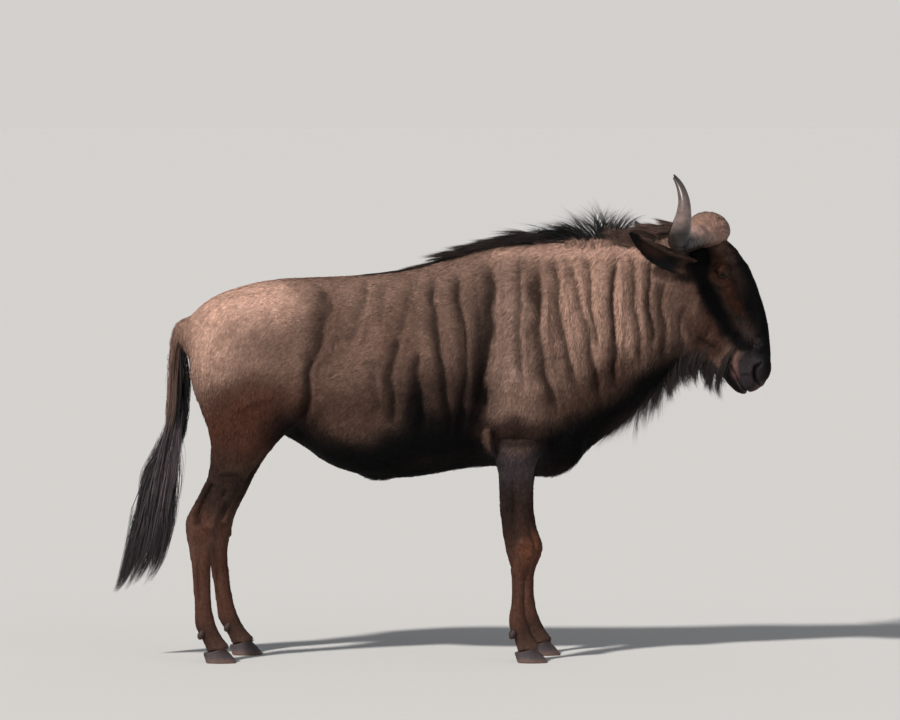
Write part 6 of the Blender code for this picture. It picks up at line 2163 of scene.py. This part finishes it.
@dataclass
class Tail:
    """The tail's hair: brown over the dock, black down its front side, and a long tuft in wisps."""

    steps: int = 9
    width: float = 0.0015
    depth: float = 0.62

    def build(self) -> None:
        """Grow the tail's hair and put it in the place of the tuft's node."""
        draw = np.random.default_rng(51)
        made = [self.bed_strands(bed, draw) for bed in TAIL_BEDS]
        spines, across, colours = (np.concatenate(parts) for parts in zip(*made))
        places = np.stack([
            0.02 + 0.95 * np.clip((1.15 - spines[:, 3, 2]) / 1.0, 0, 1),
            np.arctan2(spines[:, 3, 1], spines[:, 3, 0] + 0.93) / (2 * math.pi) * 0.95 + 0.5,
        ], axis=1)
        profile = np.interp(np.linspace(0, 1, self.steps), [0, 0.1, 0.7, 1.0], [0.6, 1.0, 0.9, 0.15])
        item = Blades(spines, across, colours, places, profile).mesh_object("tail_hair")
        item.data.materials.append(HairFinish("Tail hair", 0.38, 0.5, 0.1).material())
        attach(item, BODY)
        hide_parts("tail_tuft")
        log.info("tail hair: %d strands", len(spines))

    def bed_strands(self, bed: TailBed, draw: np.random.Generator) -> tuple[Array, Array, Array]:
        """Lay out the strands of some locks within the tail's outline.

        Args:
            bed: which locks.
            draw: the random draw.

        Returns:
            The strands' spines, their ways across and their colours.
        """
        shape = np.array(TAIL_SHAPE)
        count = bed.locks * bed.strands
        lock = np.repeat(np.arange(bed.locks), bed.strands)
        begin = draw.uniform(*bed.starts, bed.locks)[lock] + draw.normal(0.0, 0.03, count)
        stop = draw.uniform(*bed.ends, bed.locks)[lock] - np.abs(draw.normal(0.0, 0.035, count))
        wide = draw.uniform(*bed.across, bed.locks)[lock]
        flat = (draw.uniform(-1.0, 1.0, bed.locks) * 0.9)[lock]
        loose = draw.normal(0.0, 1.0, (count, 2))
        spine = []
        for step in range(self.steps + 1):
            part = step / self.steps
            along = np.clip(begin + (stop - begin) * part, 0.0, 1.0)
            row = through(shape, along * (len(shape) - 1))
            gather = 0.20 * (1 - 0.75 * part)
            wave = 0.05 * np.sin(7.0 * part + lock * 1.7) * part
            inward = 0.35 + 0.65 * smooth_step(0.0, 0.5, part * np.ones(1))[0]
            u = (wide + wave) * inward + loose[:, 0] * gather
            v = (flat * inward + loose[:, 1] * gather) * self.depth
            spine.append(np.stack([row[:, 0] + u * row[:, 2], v * row[:, 2], row[:, 1]], axis=1))
        spines = np.stack(spine, axis=1)
        turn = draw.uniform(0.0, 2 * math.pi, count)
        facing = np.stack([np.cos(turn), np.sin(turn), np.zeros(count)], axis=1)
        ahead = unit(np.gradient(spines, axis=1))[:, :-1]
        half = self.width * draw.uniform(0.7, 1.3, count)[:, None, None] * 0.5
        across = unit(np.cross(ahead, facing[:, None])) * half
        tone = np.exp(draw.normal(0.0, 0.22, bed.locks)[lock] + draw.normal(0.0, 0.28, count))
        colours = bed.pigment.linear * bed.bright * np.ones((1, self.steps + 1, 1)) * tone[:, None, None]
        return spines, across, colours


@dataclass
class Ear:
    """A long leaf-shaped ear, cupped, with a thin edge and hair inside."""

    side: Side
    root: Triple = (0.822, 0.100, 1.336)
    half_width: float = 0.039
    depth: float = 0.036
    bow: float = 0.017
    sunk: float = 0.014
    thickness: float = 0.0032
    rings: int = 26
    across: int = 15

    TIPS = {Side.RIGHT: (0.626, 0.190, 1.442), Side.LEFT: (0.655, 0.190, 1.468)}

    def build(self) -> None:
        """Model the ear and put it in the place of its node."""
        sign = self.side.value
        mirror = np.array([1.0, sign, 1.0])
        root = np.array(self.root) * mirror
        tip = np.array(self.TIPS[self.side]) * mirror
        axis = unit(tip - root)
        out = np.array([-0.10, 1.0, -0.35]) * mirror
        out = unit(out - axis * out.dot(axis))
        beside = np.cross(axis, out)
        points = []
        for ring in range(self.rings):
            part = ring / (self.rings - 1)
            width = self.half_width * (0.80 + 0.20 * math.sin(math.pi * part)) * max(1 - part ** 3.2, 0.01) ** 0.8
            cup = self.depth * (1 - part) ** 0.7
            middle = root + (tip - root) * part - axis * self.sunk * (1 - part)
            middle = middle - beside * math.copysign(self.sag(part), beside[2])
            for step in range(self.across):
                place = -1 + 2 * step / (self.across - 1)
                raised = cup * (0.75 * place ** 2 - 0.25)
                points.append(middle + beside * width * place + out * raised)
        faces = []
        for ring in range(self.rings - 1):
            for step in range(self.across - 1):
                near = ring * self.across + step
                faces.append((near, near + 1, near + 1 + self.across, near + self.across))
        item = mesh_object(f"ear_shell_{self.side.label}", np.array(points), faces)
        self.face_outwards(item, out)
        wall = item.modifiers.new("Wall", "SOLIDIFY")
        wall.thickness = self.thickness
        wall.offset = -1.0
        finer = item.modifiers.new("Finer", "SUBSURF")
        finer.levels = 1
        finer.render_levels = 1
        apply_modifiers(item)
        surface = Surface(item)
        inner = smooth_step(-0.1, 0.5, surface.normals @ out)
        along = np.clip((surface.points - root) @ axis / np.linalg.norm(tip - root), 0, 1)
        high = (surface.points - root) @ (beside * np.sign(beside[2])) + self.sag(along)
        colours = self.shades(along, high / self.half_width, inner)
        paint(item, colours)
        item.data.materials.append(SkinFinish(f"Ear {self.side.label}").material())
        item.data.shade_smooth()
        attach(item, BODY)
        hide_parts(f"ear_{self.side.label}")
        self.hair(item, root, tip, out, beside)

    def sag(self, part: float | Array) -> float | Array:
        """How far the middle line of the ear hangs below a straight line, a share of the way along it."""
        return self.bow * np.sin(math.pi * part)

    @staticmethod
    def shades(along: Array, high: Array, inner: Array) -> Array:
        """The ear's colours: brown outside, a black hollow that is partly painted shade, a red-brown patch and the
        upper edge painted as lit, a black rim.

        Args:
            along: how far along the ear places are, from 0 to 1.
            high: how far above its middle line, in half widths.
            inner: how much they face into the cup.

        Returns:
            A colour for each place.
        """
        inner, along = inner[:, None], along[:, None]
        back = Pigment.UMBER.linear * (1 - along) + Pigment.BLACK.linear * along
        # The upper edge and the red-brown patch in the cup are painted light; the black deep in the cup is partly
        # painted shade.
        upper = smooth_step(0.30, 0.55, high)[:, None]
        painted_lit_patch = (smooth_step(-0.8, -0.2, high) * smooth_step(0.35, 0.0, high))[:, None]
        painted_lit_patch = painted_lit_patch * smooth_step(0.25, 0.5, along) * smooth_step(0.85, 0.6, along)
        hollow = Pigment.BLACK.linear * (1 - painted_lit_patch) + Pigment.RUSSET.linear * 0.6 * painted_lit_patch
        hollow = hollow * (1 - upper) + Pigment.GREY_BROWN.linear * 0.8 * upper
        colours = back * (1 - inner) + hollow * inner
        rim = smooth_step(0.80, 0.95, np.abs(high))[:, None]
        return colours * (1 - rim) + Pigment.BLACK.linear * rim

    @staticmethod
    def face_outwards(item: bpy.types.Object, out: Array) -> None:
        """Turn the faces of an open sheet towards one way."""
        surface = Surface(item)
        if (surface.normals @ out).mean() < 0:
            item.data.flip_normals()

    def hair(self, item: bpy.types.Object, root: Array, tip: Array, out: Array, beside: Array) -> None:
        """Grow short hair on the ear, longer and paler inside the cup.

        Args:
            item: the ear.
            root: where it starts.
            tip: where it ends.
            out: the way that its cup faces.
            beside: the way across it.
        """
        draw = np.random.default_rng(61)
        surface = Surface(item)
        faces = surface.triangles()
        corner = surface.points[faces]
        areas = np.linalg.norm(np.cross(corner[:, 1] - corner[:, 0], corner[:, 2] - corner[:, 0]), axis=1)
        count = 9000
        chosen = draw.choice(len(faces), count, p=areas / areas.sum())
        roots = corner[chosen].mean(axis=1) + draw.normal(0.0, 0.0010, (count, 3))
        normals = unit(surface.normals[faces[chosen]].mean(axis=1))
        inner = normals @ out > 0.3
        axis = unit(tip - root)
        offset = (roots - root) @ beside
        way = np.tile(axis, (count, 1)) + draw.normal(0.0, 0.20, (count, 3))
        way += beside * (-np.sign(offset) * inner * 0.5)[:, None]
        way = unit(way - normals * np.sum(way * normals, axis=1, keepdims=True))
        length = np.where(inner, 0.014, 0.010) * draw.uniform(0.6, 1.2, count)
        lift = np.where(inner, 0.35, 0.15) * draw.uniform(0.5, 1.5, count)
        spines = np.stack([
            roots + way * (length * along)[:, None] + normals * (length * lift * height)[:, None]
            for along, height in ((0.0, 0.0), (0.5, 0.7), (1.0, 1.0))
        ], axis=1)
        across = np.cross(normals, way) * (np.where(inner, 0.0010, 0.0014) * 0.5)[:, None]
        share = np.clip((roots - root) @ axis / np.linalg.norm(tip - root), 0, 1)[:, None]
        high = (offset * np.sign(beside[2]) + self.sag(share[:, 0])) / self.half_width
        base = smooth_step(0.16, 0.03, share)
        tone = np.exp(draw.normal(0.0, 0.30, count))[:, None]
        # The hair takes the ear's colours, with their painted light and shade.
        colours = self.shades(share[:, 0], high, inner.astype(float)) * 1.2 * tone
        colours = colours * (1 - base) + Pigment.UMBER.linear * tone * base
        places = np.stack([0.02 + 0.95 * share[:, 0], 0.5 + np.clip(offset / 0.1, -0.48, 0.48)], axis=1)
        coat = Blades(spines, np.repeat(across[:, None], 2, axis=1), np.repeat(colours[:, None], 3, axis=1),
                      places, np.array([1.0, 0.9, 0.0])).mesh_object(f"ear_hair_{self.side.label}")
        coat.data.materials.append(HairFinish(f"Ear hair {self.side.label}", 0.6, 0.3).material())
        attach(coat, BODY)


@dataclass
class Horn:
    """One horn with its half of the rough boss, sweeping out, down and up to a smooth tip."""

    side: Side
    sides: int = 72
    steps: int = 14
    parting: float = 0.003
    corner: float = 0.024
    turn: float = -2.3
    pivot: Triple = (0.870, 0.0, 1.450)

    def build(self) -> None:
        """Model the horn and put it in the place of its node."""
        sign = self.side.value
        rings = swept_rings(HORN, self.sides, self.steps)
        middles = rings.mean(axis=1, keepdims=True)
        along = np.linspace(0.0, 1.0, len(rings))[:, None]
        flat = rings.reshape(-1, 3)
        lumps = 0.5 - np.abs(lattice_noise(flat, 0.015, 14))
        pits = np.minimum(lattice_noise(flat, 0.0075, 15) + 0.2, 0.0)
        rough = (lumps * 0.0060 + pits * 0.0080).reshape(along.shape[0], self.sides)
        low = np.clip(unit(rings - middles) @ np.array([0.55, 0.0, -0.84]), 0.0, 1.0) ** 2
        rough = rough * smooth_step(0.40, 0.20, along) + self.corner * low * smooth_step(0.30, 0.08, along)
        ridge = 0.0011 * np.sin(along * 150.0) * smooth_step(0.16, 0.28, along) * smooth_step(0.62, 0.40, along)
        rings = rings + unit(rings - middles) * (rough + ridge)[:, :, None]
        points = rings.reshape(-1, 3) * np.array([1.0, sign, 1.0])
        item = mesh_object(f"horn_sheath_{self.side.label}", points, tube_faces(len(rings), self.sides))
        select_only(item)
        bpy.ops.object.mode_set(mode="EDIT")
        bpy.ops.mesh.select_all(action="SELECT")
        bpy.ops.mesh.bisect(plane_co=(0.0, sign * self.parting / 2, 0.0), plane_no=(0.0, -sign, 0.0),
                            use_fill=True, clear_outer=True)
        bpy.ops.object.mode_set(mode="OBJECT")
        pivot = Matrix.Translation(self.pivot)
        item.data.transform(pivot @ Matrix.Rotation(math.radians(self.turn), 4, "Z") @ pivot.inverted())
        item.data.materials.append(HornFinish(f"Horn {self.side.label}").material())
        item.data.shade_smooth()
        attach(item, BODY)
        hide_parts(f"horn_{self.side.label}")
        log.info("horn %s: %d faces", self.side.label, len(item.data.polygons))


@dataclass
class Eyeball:
    """One eye: a ball with the clear front raised a little."""

    side: Side
    radius: float = EYE_RADIUS
    clear_rise: float = 0.0010
    look_down: float = 0.0085

    def build(self) -> None:
        """Model the eye and put it in the place of its node."""
        sign = self.side.value
        centre = (EYE_CENTRE[0], sign * EYE_CENTRE[1], EYE_CENTRE[2])
        bpy.ops.object.select_all(action="DESELECT")
        bpy.ops.mesh.primitive_uv_sphere_add(segments=64, ring_count=48, radius=self.radius)
        item = bpy.context.object
        item.name = f"eyeball_{self.side.label}"
        item.data.transform(Matrix.Translation(centre) @ Matrix.Rotation(math.radians(90.0), 4, "X"))
        surface = Surface(item)
        out = unit(np.array([0.16, sign, 0.06]))
        front = smooth_step(0.74, 0.88, unit(surface.points - np.array(centre)) @ out)
        surface.raise_by(front * self.clear_rise)
        across = np.hypot((surface.points[:, 0] - centre[0]) / 0.0092, (surface.points[:, 2] - centre[2] + self.look_down) / 0.0058)
        iris = smooth_step(0.92, 1.10, across)[:, None]
        white = smooth_step(0.0165, 0.0185, np.hypot(*(surface.points - np.array(centre))[:, [0, 2]].T))[:, None]
        colours = Pigment.BLACK.linear * 0.3 * (1 - iris) + Pigment.RUSSET.linear * 0.4 * iris
        colours = colours * (1 - white) + Pigment.DARK_BROWN.linear * white
        paint(item, colours)
        item.data.materials.append(EyeFinish(f"Eye {self.side.label}").material())
        item.data.shade_smooth()
        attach(item, BODY)
        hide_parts(f"eye_{self.side.label}")


@dataclass
class Foot:
    """The two claws and the two dewclaws of one foot."""

    kind: str
    side: Side
    middle: tuple[float, float]
    length: float = 0.104
    width: float = 0.040
    height: float = 0.048
    slope: float = 0.26
    cleft: float = 0.007
    sides: int = 36
    levels: int = 9

    def build(self) -> None:
        """Model the claws in the place of their nodes, and the dewclaws behind them."""
        sign = self.side.value
        for label, inward in (("inner", sign), ("outer", -sign)):
            self.claw(f"{self.kind}_{self.side.label}_{label}", inward)
        self.dewclaws()

    def claw(self, name: str, inward: float) -> None:
        """Model one claw from a cylinder.

        Args:
            name: the end of its node's name.
            inward: the sign of the way to the other claw of the foot.
        """
        bpy.ops.object.select_all(action="DESELECT")
        bpy.ops.mesh.primitive_cylinder_add(vertices=self.sides, radius=1.0, depth=1.0)
        item = bpy.context.object
        item.name = f"claw_{name}"
        bpy.ops.object.mode_set(mode="EDIT")
        bpy.ops.mesh.select_all(action="SELECT")
        for level in range(1, self.levels):
            bpy.ops.mesh.select_all(action="SELECT")
            bpy.ops.mesh.bisect(plane_co=(0.0, 0.0, level / self.levels - 0.5), plane_no=(0.0, 0.0, 1.0))
        bpy.ops.object.mode_set(mode="OBJECT")
        surface = Surface(item)
        level = surface.points[:, 2] + 0.5
        ahead = surface.points[:, 0]
        aside = surface.points[:, 1]
        shrink = 1 - 0.12 * level - 0.05 * smooth_step(0.10, 0.0, level)
        taper = 1 - 0.34 * np.maximum(ahead, 0.0) ** 2
        x = self.length / 2 * ahead * shrink
        x = x - (np.where(ahead > 0, 0.030, 0.006) * np.abs(ahead) + 0.010) * level
        share = np.where(aside > 0, 0.30, 0.70)
        y = self.width * share * shrink * taper * np.sign(aside) * np.abs(aside) ** 0.75
        ring = 0.0006 * np.sin(level * 34.0) * (level > 0.08)
        x = x + ring * ahead
        top = self.height + self.slope * x - 0.0003
        offset = self.cleft / 2 + self.width * 0.30
        surface.points = np.stack([
            self.middle[0] + x, self.middle[1] - inward * (offset - y), np.maximum(0.0, top * level),
        ], axis=1)
        surface.write()
        select_only(item)
        bpy.ops.object.mode_set(mode="EDIT")
        bpy.ops.mesh.select_all(action="SELECT")
        bpy.ops.mesh.normals_make_consistent(inside=False)
        bpy.ops.object.mode_set(mode="OBJECT")
        edge = item.modifiers.new("Worn edge", "BEVEL")
        edge.width = 0.0016
        edge.segments = 2
        edge.angle_limit = math.radians(50.0)
        apply_modifiers(item)
        item.data.materials.append(HoofFinish(f"Hoof {name}").material())
        select_only(item)
        bpy.ops.object.shade_smooth_by_angle(angle=math.radians(45.0))
        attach(item, BODY)
        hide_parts(f"hoof_{name}")

    def dewclaws(self) -> None:
        """Model the two small claws behind the foot as one piece."""
        forms = []
        for aside in (-0.021, 0.021):
            bpy.ops.object.select_all(action="DESELECT")
            bpy.ops.mesh.primitive_uv_sphere_add(segments=20, ring_count=12, radius=1.0)
            form = bpy.context.object
            centre = (self.middle[0] - 0.068, self.middle[1] + aside, 0.096)
            turn = Matrix.Rotation(0.45, 4, "Y")
            form.data.transform(Matrix.Translation(centre) @ turn @ Matrix.Diagonal((0.012, 0.012, 0.018, 1.0)))
            forms.append(form)
        item = joined(f"dewclaws_{self.kind}_{self.side.label}", forms)
        item.data.materials.append(HoofFinish(f"Dewclaw {self.kind} {self.side.label}").material())
        item.data.shade_smooth()
        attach(item, BODY)


@dataclass
class Studio:
    """The plain floor, the soft light and the camera at the photo's angle."""

    middle: Triple = (0.0236, 0.0, 1.010)
    camera_place: Triple = (0.0236, -20.0, 1.9700)
    lens: float = 237.6
    floor_reach: float = 400.0
    backdrop: Triple = (0.655, 0.636, 0.611)
    sky: Triple = (0.27, 0.28, 0.30)

    def build(self) -> None:
        """Set the floor, the lights and the camera."""
        bpy.ops.object.select_all(action="DESELECT")
        bpy.ops.mesh.primitive_plane_add(size=self.floor_reach, location=(0.0, 0.0, 0.0))
        floor = bpy.context.object
        floor.name = "floor"
        pattern = Pattern.start("Floor", 0.9, 0.1)
        pattern.shader.inputs["Base Color"].default_value = (0.55, 0.54, 0.525, 1.0)
        floor.data.materials.append(pattern.material)
        world = bpy.data.worlds.new("Studio")
        world.use_nodes = True
        tree = world.node_tree
        place = tree.nodes.new("ShaderNodeTexCoord")
        parts = tree.nodes.new("ShaderNodeSeparateXYZ")
        tree.links.new(place.outputs["Generated"], parts.inputs[0])
        ramp = tree.nodes.new("ShaderNodeValToRGB")
        tree.links.new(parts.outputs["Z"], ramp.inputs["Fac"])
        ends = ramp.color_ramp.elements
        ends[0].position, ends[0].color = 0.035, (*self.backdrop, 1.0)
        ends[1].position, ends[1].color = 0.120, (*self.sky, 1.0)
        tree.links.new(ramp.outputs["Color"], tree.nodes["Background"].inputs["Color"])
        bpy.context.scene.world = world
        self.sun("Key", 4.2, (46.4, 0.0, -37.4), 4.5, (1.0, 0.97, 0.93))
        self.sun("Fill", 0.25, (60.0, 0.0, 50.0), 60.0, (0.90, 0.95, 1.0))
        camera_data = bpy.data.cameras.new("Camera")
        camera_data.lens = self.lens
        camera_data.sensor_width = 36.0
        camera_data.clip_end = 500.0
        camera = bpy.data.objects.new("Camera", camera_data)
        bpy.context.scene.collection.objects.link(camera)
        camera.location = self.camera_place
        way = Vector(self.middle) - Vector(self.camera_place)
        camera.rotation_euler = way.to_track_quat("-Z", "Y").to_euler()
        bpy.context.scene.camera = camera
        bpy.context.scene.view_settings.view_transform = "Standard"

    @staticmethod
    def sun(name: str, strength: float, turn: Triple, spread: float, colour: Triple) -> None:
        """Add a far soft light.

        Args:
            name: the light's name.
            strength: how bright it is.
            turn: its turn about each axis in degrees.
            spread: how wide it is seen, in degrees.
            colour: its colour.
        """
        data = bpy.data.lights.new(name, "SUN")
        data.energy = strength
        data.angle = math.radians(spread)
        data.color = colour
        light = bpy.data.objects.new(name, data)
        light.rotation_euler = tuple(math.radians(angle) for angle in turn)
        bpy.context.scene.collection.objects.link(light)


def corners(box: tuple) -> list[list[float]]:
    """A box as plain lists of numbers."""
    return [[float(value) for value in corner] for corner in box]


def main() -> None:
    """Build and dress the animal, and set the studio."""
    logging.basicConfig(level=logging.INFO, format="%(name)s: %(message)s")
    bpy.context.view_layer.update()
    hide = Hide()
    hide.build()
    log.info("skin: %d triangles", sum(len(face.vertices) - 2 for face in hide.item.data.polygons))
    Coat(hide).build()
    LongHair(hide).build()
    Tail().build()
    for side in Side:
        Ear(side).build()
        Horn(side).build()
        Eyeball(side).build()
        ahead = side is Side.LEFT
        Foot("hind", side, (-0.742 + HIND_STEP * ahead, side.value * 0.141)).build()
        Foot("fore", side, (0.302 + FORE_STEP * ahead, side.value * 0.131)).build()
    Studio().build()


if __name__ == "__main__":
    main()
